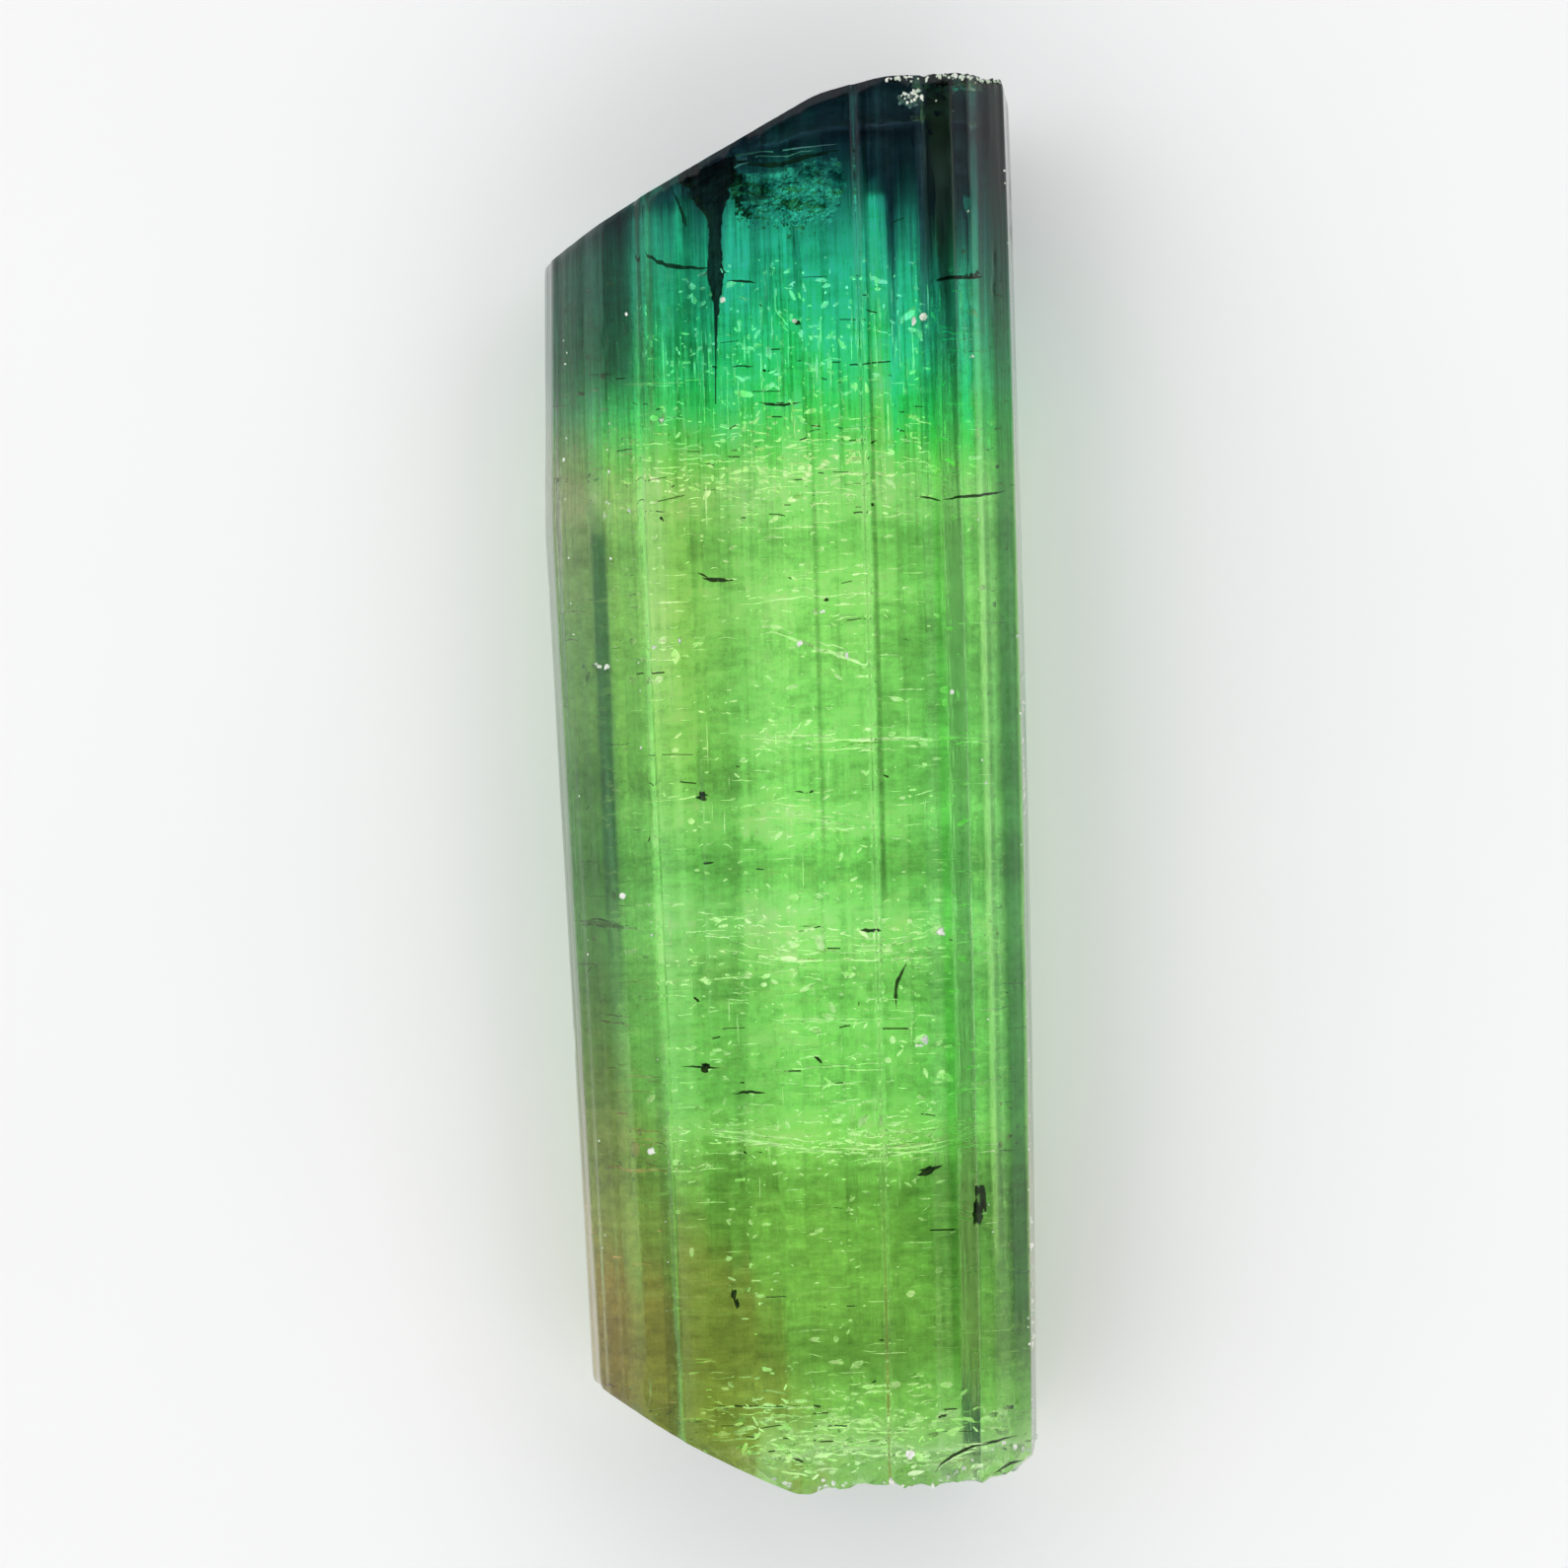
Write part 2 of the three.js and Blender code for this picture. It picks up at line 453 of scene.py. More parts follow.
# ---------------------------------------------------------------------------------------------
# node helpers
# ---------------------------------------------------------------------------------------------
def lin(r, g, b):
    """Display colour, 0 to 255, to linear light."""
    return tuple(
        (c / 255 / 12.92) if c / 255 <= 0.04045 else ((c / 255 + 0.055) / 1.055) ** 2.4
        for c in (r, g, b)
    )


class Net:
    def __init__(self, name):
        self.material = bpy.data.materials.new(name)
        self.material.use_nodes = True
        self.tree = self.material.node_tree
        self.tree.nodes.clear()
        self.out = self.tree.nodes.new("ShaderNodeOutputMaterial")

    def node(self, kind, **props):
        n = self.tree.nodes.new(kind)
        for k, v in props.items():
            setattr(n, k, v)
        return n

    def feed(self, socket, value):
        if isinstance(value, bpy.types.NodeSocket):
            self.tree.links.new(value, socket)
        elif value is not None:
            socket.default_value = value

    def math(self, op, a, b=None, c=None, clamp=False):
        n = self.node("ShaderNodeMath", operation=op, use_clamp=clamp)
        for s, v in zip(n.inputs, (a, b, c)):
            self.feed(s, v)
        return n.outputs[0]

    def vector(self, op, a, b=None, scale=None):
        n = self.node("ShaderNodeVectorMath", operation=op)
        self.feed(n.inputs[0], a)
        if b is not None:
            self.feed(n.inputs[1], b)
        if scale is not None:
            self.feed(n.inputs["Scale"], scale)
        return n.outputs[0]

    def step(self, value, low, high, to_low=0.0, to_high=1.0, kind="SMOOTHSTEP"):
        n = self.node("ShaderNodeMapRange", interpolation_type=kind, clamp=True)
        self.feed(n.inputs["Value"], value)
        self.feed(n.inputs["From Min"], low)
        self.feed(n.inputs["From Max"], high)
        self.feed(n.inputs["To Min"], to_low)
        self.feed(n.inputs["To Max"], to_high)
        return n.outputs[0]

    def noise(self, place, scale=(1, 1, 1), detail=3.0, rough=0.5, twist=0.0, shift=0.0):
        v = self.vector("MULTIPLY", place, tuple(float(s) for s in scale))
        if shift:
            v = self.vector("ADD", v, (shift, shift * 0.7, shift * 1.3))
        n = self.node("ShaderNodeTexNoise")
        self.feed(n.inputs["Vector"], v)
        self.feed(n.inputs["Scale"], 1.0)
        self.feed(n.inputs["Detail"], float(detail))
        self.feed(n.inputs["Roughness"], float(rough))
        self.feed(n.inputs["Distortion"], float(twist))
        return n.outputs[0]

    def ramp(self, value, stops, kind="LINEAR"):
        n = self.node("ShaderNodeValToRGB")
        n.color_ramp.interpolation = kind
        els = n.color_ramp.elements
        while len(els) > 1:
            els.remove(els[-1])
        for i, (at, colour) in enumerate(stops):
            e = els[0] if i == 0 else els.new(at)
            e.position = at
            if isinstance(colour, (int, float)):
                colour = (colour, colour, colour)
            e.color = (*colour, 1.0)
        self.feed(n.inputs[0], value)
        return n.outputs[0]

    def mix(self, factor, a, b, kind="MIX"):
        n = self.node("ShaderNodeMix", data_type="RGBA", blend_type=kind)
        n.clamp_factor = True
        self.feed(n.inputs["Factor"], factor)
        for s, v in (("A", a), ("B", b)):
            socket = [i for i in n.inputs if i.name == s and i.type == "RGBA"][0]
            self.feed(socket, (*v, 1.0) if isinstance(v, tuple) and len(v) == 3 else v)
        return [o for o in n.outputs if o.type == "RGBA"][0]

    def grey(self, value):
        n = self.node("ShaderNodeCombineColor")
        for s in n.inputs:
            self.feed(s, value)
        return n.outputs[0]

    def place(self):
        """The point on the surface, in mm of the row frame, and its x, y and z."""
        at = self.node("ShaderNodeTexCoord").outputs["Object"]
        p = self.vector("SCALE", at, scale=1000.0)
        s = self.node("ShaderNodeSeparateXYZ")
        self.feed(s.inputs[0], p)
        return p, s.outputs[0], s.outputs[1], s.outputs[2]


# how much of the floor's light comes back up through a clear part of the crystal
THROUGH = 0.78
GLINT = 0.03  # what a steep face mirrors of the floor


def tint(r, g, b):
    """Surface colour that gives about this display colour when light passes down to the floor and back."""
    return tuple(min((c / THROUGH) ** 0.53, 0.995) for c in lin(r, g, b))


def side_tint(mm, r, g, b):
    """The same for a face that is steeply tilted: it is seen against the brighter middle of the crystal and
    only its own surface can darken it; it also mirrors some of the floor."""
    behind = lin(*(np.interp(mm, [y for y, _ in BODY], [rgb[i] for _, rgb in BODY]) for i in range(3)))
    own = [max(c - GLINT, 0.2 * c) for c in lin(r, g, b)]
    red, green, blue = (
        float(np.clip((t / (THROUGH**0.25 * u**0.75)) ** 2, 0.004, 0.995)) for t, u in zip(own, behind)
    )
    return min(red, 2.4 * green), green, min(blue, 1.7 * green)  # never so red or blue that it turns violet


# ---------------------------------------------------------------------------------------------
# colour zones and streaks, worked out at every point of the surface from its place
# ---------------------------------------------------------------------------------------------
# how much further down the dark cap reaches, in mm, by share of the half width
REACH = [
    (-1.0, 1.0), (-0.6, 1.0), (-0.5, -0.2), (-0.37, 0.2), (-0.35, 0.9), (-0.2, 0.8), (-0.12, 0.0), (-0.05, -0.3),
    (0.2, -0.3), (0.24, -0.7), (0.385, -0.8), (0.388, -1.6), (0.424, -1.6), (0.428, 2.0), (0.5, 2.2), (0.506, 0.5),
    (0.59, 0.6), (0.596, 2.6), (0.84, 2.9), (1.0, 3.2),
]


# soft brighter and duller bands across the length: y, half width, bow at the sides in mm, strength
BANDS = [
    (9.4, 1.1, 0.3, 0.16), (7.3, 0.5, 0.4, -0.12), (5.7, 0.4, 0.5, 0.12), (3.9, 0.7, 0.6, -0.1), (1.3, 0.3, 0.4, 0.16),
    (0.1, 0.6, 0.4, -0.12), (-1.1, 0.5, 0.5, 0.16), (-2.6, 0.6, 0.5, -0.16), (-4.4, 0.7, 0.9, 0.18),
    (-6.2, 0.6, 0.8, -0.1), (-7.6, 0.6, 0.8, 0.08), (-9.1, 0.5, 0.8, -0.06), (-10.7, 0.45, 1.2, 0.2),
    (-12.2, 0.6, 0.8, -0.14), (-15.4, 0.8, 0.5, 0.06), (-17.2, 0.6, 0.5, -0.08), (-18.6, 0.5, 0.5, 0.12),
]


def at(mm):
    """Place on the colour scale of a height above the middle, from 0 to 1."""
    return mm / 48.0 + 0.5


def growth(x, y, z):
    """Sets of four values at every point: (place on the colour scale, brightness with painted shade in places, crinkle
    patches, streaks), (narrow -X faces, brown corner of painted reflection, blue-green strip of painted shade, painted
    light lines), (+X side and its steep faces, both under painted shade, broken end that is painted paler as a glow,
    front half), (once-coloured strip, yellower side, blackish ends and side of the cap)."""
    share = x / (7.15 + 0.011 * y)
    streak = fbm(x * 3.2, y * 0.03, z * 3.2, 103, 4, 0.62)
    cloud = fbm(x * 0.24, y * 0.3, z * 0.24, 109, 3)
    upper = smooth(9.0, 15.0, y)
    reach = np.interp(share, *zip(*REACH)) * smooth(8.3, 14.0, y)
    reach = reach + 3.2 * smooth(0.38, 0.386, share) * smooth(0.43, 0.425, share) * smooth(17.8, 18.0, y)
    place = y + reach + streak * (0.4 + 2.2 * upper) + cloud * (0.5 + 0.5 * upper)
    broad = fbm(x * 1.7, y * 0.02, z * 1.7, 121, 5, 0.65)
    patchy = fbm(x * 0.5, y * 0.22, z * 0.5, 127, 4, 0.6)
    value = 1.04 + (0.2 + 0.1 * upper) * broad + 0.24 * patchy
    fine = fbm(x * 8.5, y * 0.03, z * 8.5, 131, 3, 0.6)
    value = value * (1 - smooth(0.14, 0.42, fine) * (0.14 + 0.4 * smooth(4, 13, y)))
    for band_y, half, bow, strength in BANDS:
        off = y - band_y - bow * (share - 0.25) ** 2 - 0.25 * fbm(x * 0.7, 0 * y, z * 0.7, int(200 + band_y), 3)
        value = value * (1 + strength * np.exp(-((off / half) ** 2)) * smooth(-0.62, -0.25, share))
    value = value * (1 + 0.28 * smooth(10.6, 12.5, y) * smooth(18.4, 17.0, y) * smooth(-0.5, -0.1, share))
    value = value * (1 + 0.16 * smooth(7.4, 8.6, y) * smooth(12.0, 10.8, y))
    value = value * (1 + 0.1 * smooth(0.05, 0.15, share) * smooth(0.5, 0.42, share) * smooth(11.0, 13.0, y))
    bar = smooth(0.012, 0.006, np.abs(share - 0.408)) + 0.7 * smooth(0.012, 0.006, np.abs(share - 0.335))
    value = value * (1 + 0.35 * bar * smooth(17.98, 17.86, y) * smooth(9.5, 13.0, y))
    light = 0.0 * y
    # painted shade along the dark growth lines and a painted highlight along the light ones
    for line_at, low, high, half, strength in LINES:
        ends = smooth(low - 1.2, low + 0.8, y) * smooth(high + 0.8, high - 0.8, y)
        waver = 0.02 * fbm(y * 0.5, 0 * y, 0 * y, 137, 2)
        line = smooth(half + 0.075, half - 0.02, np.abs(share * 7.2 - line_at * 7.2 + waver)) * (z > 5)
        if strength > 0:
            value = value * (1 - 0.95 * strength * line * ends)
        else:
            light = np.maximum(light, -strength * line * ends)
    patch = smooth(-0.12, 0.28, fbm(x * 0.17, y * 0.34, z * 0.17, 161, 3))
    edge = 0.03 * cloud
    flank = 0.5 * smooth(-0.54, -0.63, share + edge) + 0.5 * smooth(-0.66, -0.84, share + edge)
    flank = flank + (smooth(-0.5, -0.62, share + edge) - flank) * smooth(10.4, 12.6, y)
    # the brown is a painted reflection of the surroundings in the -X faces; on the resting side it reaches further
    # across, where the -X faces look through to it
    limit = -0.30 * y - 7.7 + smooth(5.0, 3.0, z) * (0.5 + 1.5 * smooth(-12.5, -16.0, y))
    brown = smooth(0.9, -0.9, x - limit + 0.5 * cloud) * smooth(-5.0, -11.0, y)
    brown = brown * (1 - 0.2 * smooth(5.0, 3.0, z))
    # painted shade: the dark line where a -X face shows a back edge through the crystal
    strip = smooth(0.043, 0.022, np.abs(share + 0.768)) * smooth(9.0, 7.4, y) * smooth(-10.0, -1.0, y)
    warm = smooth(-0.12, -0.45, share + 2 * edge) * smooth(-2.5, 1.5, y) * smooth(12.0, 9.5, y)
    # painted shade, deepening towards the +X side
    rim = np.interp(share, [0.44, 0.6, 0.76, 0.9], [0, 0.5, 0.75, 1.0]) * (1 - 0.6 * smooth(-14.0, -18.0, y))
    front = smooth(3.5, 5.5, z)
    # the +X bevels, darkened by painted shade: 0.5 on the first, 1 on the outer ones
    steep = front * (0.5 * smooth(0.77, 0.81, share) + 0.5 * smooth(0.85, 0.9, share))
    steep = steep * (1 - 0.4 * smooth(-15.5, -18.5, y))
    # the narrow ridge beside the -X faces would shine through the brown corner
    value = value * (1 - 0.5 * front * smooth(0.035, 0.02, np.abs(share + 0.585)) * smooth(-4.0, -10.0, y))
    # a strip of the front face through which the light crosses the colour half as often
    single = front * smooth(0.6, 0.63, share) * smooth(0.755, 0.725, share) * smooth(-20.0, -17.0, y)
    # the end faces of the cap and its sides are nearly black too
    top_face = np.min([a + bx * x + bz * z for a, bx, bz in TOP_FACES], axis=0)
    capped = smooth(0.75, 0.15, top_face - y)
    light = light * (1 - capped)
    tall = z / height(y)
    sides = np.maximum(smooth(0.93, 0.97, share) * smooth(0.84, 0.76, tall), smooth(0.64, 0.72, share) * smooth(0.3, 0.2, tall))
    sides = np.maximum(sides, 0.6 * smooth(-0.54, -0.66, share) * smooth(0.36, 0.28, tall))
    capped = np.maximum(capped, sides * smooth(12.5, 16.5, y))
    # painted shade on the +X bevels under the cap
    value = value * (1 - 0.55 * smooth(0.76, 0.8, share) * front * smooth(10.5, 13.8, y))
    low_face = np.stack([a + bx * x + bz * z for a, bx, bz in BOTTOM_FACES])
    torn = smooth(-0.05, 0.25, low_face[list(BREAKS)].max(0) - low_face[:3].max(0)) * smooth(
        1.8, 0.3, y - low_face.max(0)
    )
    return (
        np.stack([at(place), value, patch, 0.5 + 0.5 * streak], -1),
        np.stack([flank, brown, strip, light], -1),
        np.stack([rim, steep, torn, front], -1),
        np.stack([single, warm, capped, 1 + 0 * y], -1),
    )


# the crystal's colours over its length, y in mm
BODY = [
    (-21.0, (158, 236, 122)), (-19.6, (150, 222, 110)), (-18.4, (128, 190, 92)), (-17.0, (115, 166, 73)),
    (-12.9, (110, 166, 70)), (-11.2, (126, 194, 90)), (-9.8, (128, 212, 104)), (-7.0, (122, 207, 99)),
    (-5.2, (146, 226, 118)), (-3.8, (144, 240, 123)), (-2.4, (126, 212, 103)), (-0.8, (142, 232, 117)),
    (0.8, (136, 220, 110)), (3.0, (140, 222, 114)), (5.3, (150, 230, 117)), (7.2, (148, 222, 114)),
    (8.9, (152, 252, 116)), (9.8, (120, 252, 94)), (10.6, (92, 248, 92)), (11.3, (66, 230, 94)),
    (12.1, (48, 228, 102)), (12.9, (42, 226, 112)), (13.8, (38, 208, 122)), (15.1, (37, 190, 142)),
    (16.0, (38, 182, 150)), (16.7, (38, 164, 140)), (17.4, (30, 126, 112)), (18.1, (22, 82, 84)),
    (18.8, (13, 46, 56)), (19.6, (10, 26, 42)), (20.5, (14, 26, 42)), (21.3, (26, 38, 54)),
]
# the narrow faces at -X: slate blue at the cap, then greyed pink, olive and brown; partly the faces' own colour and
# partly painted reflection of the surroundings, which gives the greyed pink and the brown
SIDE = [
    (-20.0, (120, 92, 40)), (-17.2, (168, 138, 74)), (-12.8, (168, 150, 82)), (-11.2, (128, 138, 78)),
    (-8.2, (98, 124, 64)), (-5.2, (90, 132, 72)), (-2.2, (78, 126, 68)), (0.8, (84, 134, 80)),
    (2.4, (104, 152, 96)), (5.2, (114, 160, 104)), (8.2, (138, 172, 120)), (10.4, (132, 158, 118)),
    (11.6, (122, 138, 112)), (12.5, (84, 98, 92)), (13.6, (40, 76, 88)), (16.0, (30, 58, 80)),
    (18.0, (26, 50, 72)),
]


def crystal_material():
    net = Net("tourmaline_glass")
    p, x, y, z = net.place()

    def stored(name):
        n = net.node("ShaderNodeAttribute", attribute_name=name)
        s = net.node("ShaderNodeSeparateColor")
        net.feed(s.inputs[0], n.outputs["Color"])
        return (*s.outputs, n.outputs["Alpha"])

    along, value, patch, streak = stored("growth_scale")
    flank, brown, strip, light = stored("growth_zones")
    rim, steep, torn, front = stored("growth_sides")
    single, warm, capped, _ = stored("growth_tones")

    # fine warps, so that no colour runs ruler-straight
    mottle = net.noise(p, (2.0, 3.0, 2.0), 5, 0.74, shift=41.0)
    crinkle = net.noise(p, (1.2, 4.6, 1.2), 5, 0.72, shift=51.0)
    hair = net.noise(p, (11.0, 0.4, 11.0), 2, 0.6, shift=71.0)
    shifted = net.math("MULTIPLY_ADD", net.math("SUBTRACT", mottle, 0.5), 2.2 / 48.0, along)

    body = net.ramp(shifted, [(at(mm), tint(*rgb)) for mm, rgb in BODY])
    level = net.math("MULTIPLY_ADD", y, 1 / 48.0, 0.5)
    side_front = net.ramp(level, [(at(mm), side_tint(mm, *rgb)) for mm, rgb in SIDE])
    side_back = net.ramp(level, [(at(mm), tint(*rgb)) for mm, rgb in SIDE[::2]])
    # painted reflection: the brown corner on the -X side
    colour = net.mix(brown, body, net.mix(front, tint(150, 122, 56), (0.36, 0.46, 0.13)))
    # the -X faces: their own colour with painted reflection in its grey, pink and brown
    colour = net.mix(net.math("MULTIPLY", flank, 0.95), colour, net.mix(front, side_back, side_front))
    # painted shade: the dark line of a back edge seen through a -X face
    colour = net.mix(net.math("MULTIPLY", strip, 0.97), colour, (0.003, 0.045, 0.022))
    # painted shade towards the +X side
    colour = net.mix(rim, colour, net.mix(1.0, colour, (0.62, 0.74, 0.72), "MULTIPLY"))
    colour = net.mix(net.math("MULTIPLY", warm, 0.7), colour, net.mix(1.0, colour, (1.18, 0.99, 0.86), "MULTIPLY"))
    # painted shade on the steep +X bevels
    colour = net.mix(steep, colour, net.mix(1.0, colour, (0.05, 0.13, 0.09), "MULTIPLY"))
    colour = net.mix(capped, colour, net.mix(1.0, colour, (0.12, 0.2, 0.28), "MULTIPLY"))
    squared = net.mix(1.0, colour, colour, "MULTIPLY")
    colour = net.mix(net.math("MULTIPLY", single, net.step(y, 10.0, 15.0, 0.82, 0.985)), colour, net.mix(1.0, squared, colour, "MULTIPLY"))

    # fine upright streaks, strongest under the cap, and soft mottling
    under_cap = net.math("MULTIPLY", net.step(y, 6.5, 11.0), net.step(y, 21.0, 16.5, 0.45, 1.0))
    streaky = net.step(hair, 0.32, 0.6, -1.0, 0.45, "LINEAR")
    value = net.math("MULTIPLY", value, net.math("MULTIPLY_ADD", streaky, net.math("MULTIPLY_ADD", under_cap, 0.4, 0.07), 1.0))
    value = net.math("MULTIPLY", value, net.step(mottle, 0.3, 0.7, 0.62, 1.4, "LINEAR"))
    value = net.math("MULTIPLY", value, net.step(crinkle, 0.3, 0.46, 0.8, 1.02))
    colour = net.mix(1.0, colour, net.grey(value), "MULTIPLY")
    # painted highlight: lighter patches where fine cracks would catch the light, strongest below the cap
    wisp_highlight = net.math("MULTIPLY", net.step(crinkle, 0.53, 0.66), net.math("MULTIPLY_ADD", patch, 0.75, 0.25))
    wisp_highlight = net.math("MULTIPLY", wisp_highlight, net.step(y, 14.0, 9.5, 0.0, 0.8))
    wisp_highlight = net.math("MULTIPLY", wisp_highlight, net.math("SUBTRACT", 1.0, flank))
    wisp_highlight = net.math("MULTIPLY", wisp_highlight, net.math("SUBTRACT", 1.0, net.math("MAXIMUM", steep, single)))
    colour = net.mix(wisp_highlight, colour, tint(188, 255, 132))
    # painted glow: the broken end made paler
    colour = net.mix(net.math("MULTIPLY", torn, 0.85), colour, (0.8, 0.99, 0.72))
    # painted highlight along the light lines
    colour = net.mix(light, colour, net.mix(net.step(y, 16.0, 11.0), tint(96, 150, 150), (0.93, 0.99, 0.8)))

    # --- surface
    shader = net.node("ShaderNodeBsdfPrincipled")
    net.feed(shader.inputs["Base Color"], colour)
    shader.inputs["Transmission Weight"].default_value = 1.0
    shader.inputs["IOR"].default_value = 1.63
    shader.inputs["Specular Tint"].default_value = (0.3, 0.3, 0.3, 1.0)
    back = net.step(z, 3.4, 0.6, 0.0, 0.1, "LINEAR")
    rough = net.math("ADD", net.step(streak, 0.4, 0.8, 0.03, 0.1), back)
    rough = net.math("ADD", rough, net.math("MULTIPLY", torn, 0.08))
    net.feed(shader.inputs["Roughness"], rough)

    bump = net.node("ShaderNodeBump")
    bump.inputs["Strength"].default_value = 0.35
    bump.inputs["Distance"].default_value = 0.012 * MM
    net.feed(bump.inputs["Height"], hair)
    net.feed(shader.inputs["Normal"], bump.outputs[0])
    net.feed(net.out.inputs["Surface"], shader.outputs[0])

    soak = net.node("ShaderNodeVolumeAbsorption")
    soak.inputs["Color"].default_value = (0.62, 0.98, 0.5, 1.0)
    soak.inputs["Density"].default_value = 12.0
    net.feed(net.out.inputs["Volume"], soak.outputs[0])
    return net.material


# ---------------------------------------------------------------------------------------------
# what is sealed inside the crystal; places are x, y in mm of the raw frame and mm below the front
# ---------------------------------------------------------------------------------------------
# bright healed cracks seen edge-on: (points, width, depth, strands)
THREADS = [
    ([(-0.52, 4.64), (0.55, 4.16), (1.59, 3.82), (2.65, 3.31)], 0.13, 1.2, 2),
    ([(-0.82, 4.68), (-0.36, 4.78), (-0.04, 4.62)], 0.16, 1.3, 2),
    ([(-1.46, 5.39), (0.11, 5.58), (1.61, 5.62), (3.35, 5.63)], 0.07, 2, 4),
    ([(-1.46, 1.46), (-0.02, 1.26), (1.48, 1.25), (3.13, 1.25), (5.44, 1.24)], 0.08, 1.5, 3),
    ([(1.18, 1.25), (2.38, 1.28), (4.18, 1.28)], 0.14, 1.6, 2),
    ([(0.36, 1.82), (0.17, 1.59), (0.01, 1.32)], 0.1, 1.2, 1),
    ([(-1.65, -1.06), (-0.39, -0.98), (0.81, -1.08), (2.3, -1.36)], 0.07, 3, 4),
    ([(-2.93, -4.41), (-1.58, -4.6)], 0.06, 1.2, 2),
    ([(-2.43, -4.79), (-0.76, -5.2), (0.17, -5.29), (1.64, -5.3), (2.57, -5.39), (3.35, -5.23)], 0.07, 1, 4),
    ([(-1.12, -5.1), (-0.22, -5.25), (0.98, -5.31)], 0.16, 1.1, 2),
    ([(1.59, -4.85), (2.79, -4.92), (3.64, -4.76), (4.24, -4.57)], 0.08, 1.4, 3),
    ([(-6.07, -3.18), (-5.32, -3.23)], 0.05, 0.9, 1),
    ([(-6.25, -4.04), (-4.99, -4.11), (-4.27, -4.25)], 0.12, 1.3, 4),
    ([(-4.96, -6.15), (-3.28, -6.23)], 0.06, 1, 2),
    ([(-2.97, -5.76), (-2.19, -5.73), (-1.4, -5.63)], 0.1, 1, 2),
    ([(-2.15, -6.39), (-1.4, -6.41)], 0.06, 1.2, 1),
    ([(-5.82, -6.94), (-4.99, -7.02), (-4.63, -7.21)], 0.1, 0.8, 2),
    ([(-4.98, -8.61), (-3.51, -8.66)], 0.07, 1.4, 2),
    ([(-0.82, -7.03), (0.63, -7.04), (2.42, -7.13)], 0.07, 1.6, 3),
    ([(-0.86, -8.53), (0.58, -8.51), (2.68, -8.4)], 0.07, 1.8, 3),
    ([(-0.63, -8.95), (0.56, -9.05), (2.07, -8.98)], 0.07, 2, 3),
    ([(-3.1, -10.2), (-2.18, -10.35), (-1.28, -10.41)], 0.08, 1.2, 3),
    ([(-2.78, -10.39), (-0.99, -10.74), (0.74, -11.04), (2.81, -11.13), (4.38, -10.97), (5.53, -10.46)], 0.09, 1, 6),
    ([(1.41, -10.76), (2.61, -10.97), (4.11, -10.78), (5.17, -10.51)], 0.09, 1.4, 6),
    ([(-1, -11.1), (-0.1, -10.98), (0.5, -11.03)], 0.06, 1.2, 2),
    ([(1.39, -11.36), (2.6, -11.21), (4.1, -11.08)], 0.06, 1.5, 3),
    ([(2.02, -10.42), (3.52, -10.52), (4.88, -10.2)], 0.08, 1.8, 4),
    ([(3.48, -9.8), (4.46, -9.38), (5.91, -8.88)], 0.08, 1.2, 2),
    ([(3.54, -12.92), (4.16, -12.28)], 0.05, 1, 1),
    ([(0.03, -16.6), (0.42, -16.67)], 0.1, 1, 1),
    ([(1.49, -18.08), (2.39, -18.05)], 0.12, 1, 2),
    ([(3.89, -18.07), (4.31, -18.11)], 0.12, 1, 1),
    ([(-3.42, -11.81), (-3.18, -11.79)], 0.1, 1, 1),
    ([(-4.82, -10.51), (-3.39, -10.61)], 0.08, 1.2, 3),
    ([(-4.55, -11.42), (-3.26, -11.49)], 0.1, 1.2, 3),
    ([(4.43, -13.1), (5.09, -13.15)], 0.08, 1, 2),
    ([(-0.05, 14.2), (0.13, 13.95), (0.33, 13.65)], 0.12, 0.9, 1),
    ([(-2.25, 14.84), (-2.1, 14.89)], 0.16, 0.8, 1),
    ([(6.12, 14.55), (6.62, 14.44)], 0.1, 0.8, 1),
    ([(-1.27, 18.41), (-0.69, 18.6)], 0.07, 1.2, 1),
    ([(-2.55, 18.81), (-1.26, 18.8), (0.52, 18.95), (2.02, 19.06)], 0.06, 1.4, 2),
    ([(-4.74, 3.87), (-3.25, 3.79)], 0.06, 0.9, 1),
    ([(-3.03, -18.55), (-1.23, -18.63), (-0.03, -18.58)], 0.07, 1.2, 2),
    ([(-0.65, -19.34), (1.15, -19.27), (2.35, -19.46)], 0.09, 1.6, 3),
    ([(2.95, -19.21), (4.16, -19.13), (5.65, -19.32)], 0.08, 1.4, 3),
    ([(0.83, -19.98), (2.32, -20.21), (3.53, -20.13)], 0.1, 1.4, 3),
    ([(-1.41, -19.62), (-0.67, -19.88), (-0.23, -20.25)], 0.12, 1.2, 3),
    ([(-1.29, -20.46), (-0.09, -20.68), (0.8, -20.88)], 0.12, 1, 3),
    ([(3.57, -20.79), (3.88, -20.5), (4.33, -20.21), (4.88, -20.11)], 0.12, 0.9, 2),
    ([(4.1, -20.98), (5.31, -20.81), (6.5, -20.94)], 0.14, 0.8, 4),
    ([(3.2, -21.14), (4.69, -21.3), (6.2, -21.17)], 0.12, 0.7, 4),
]
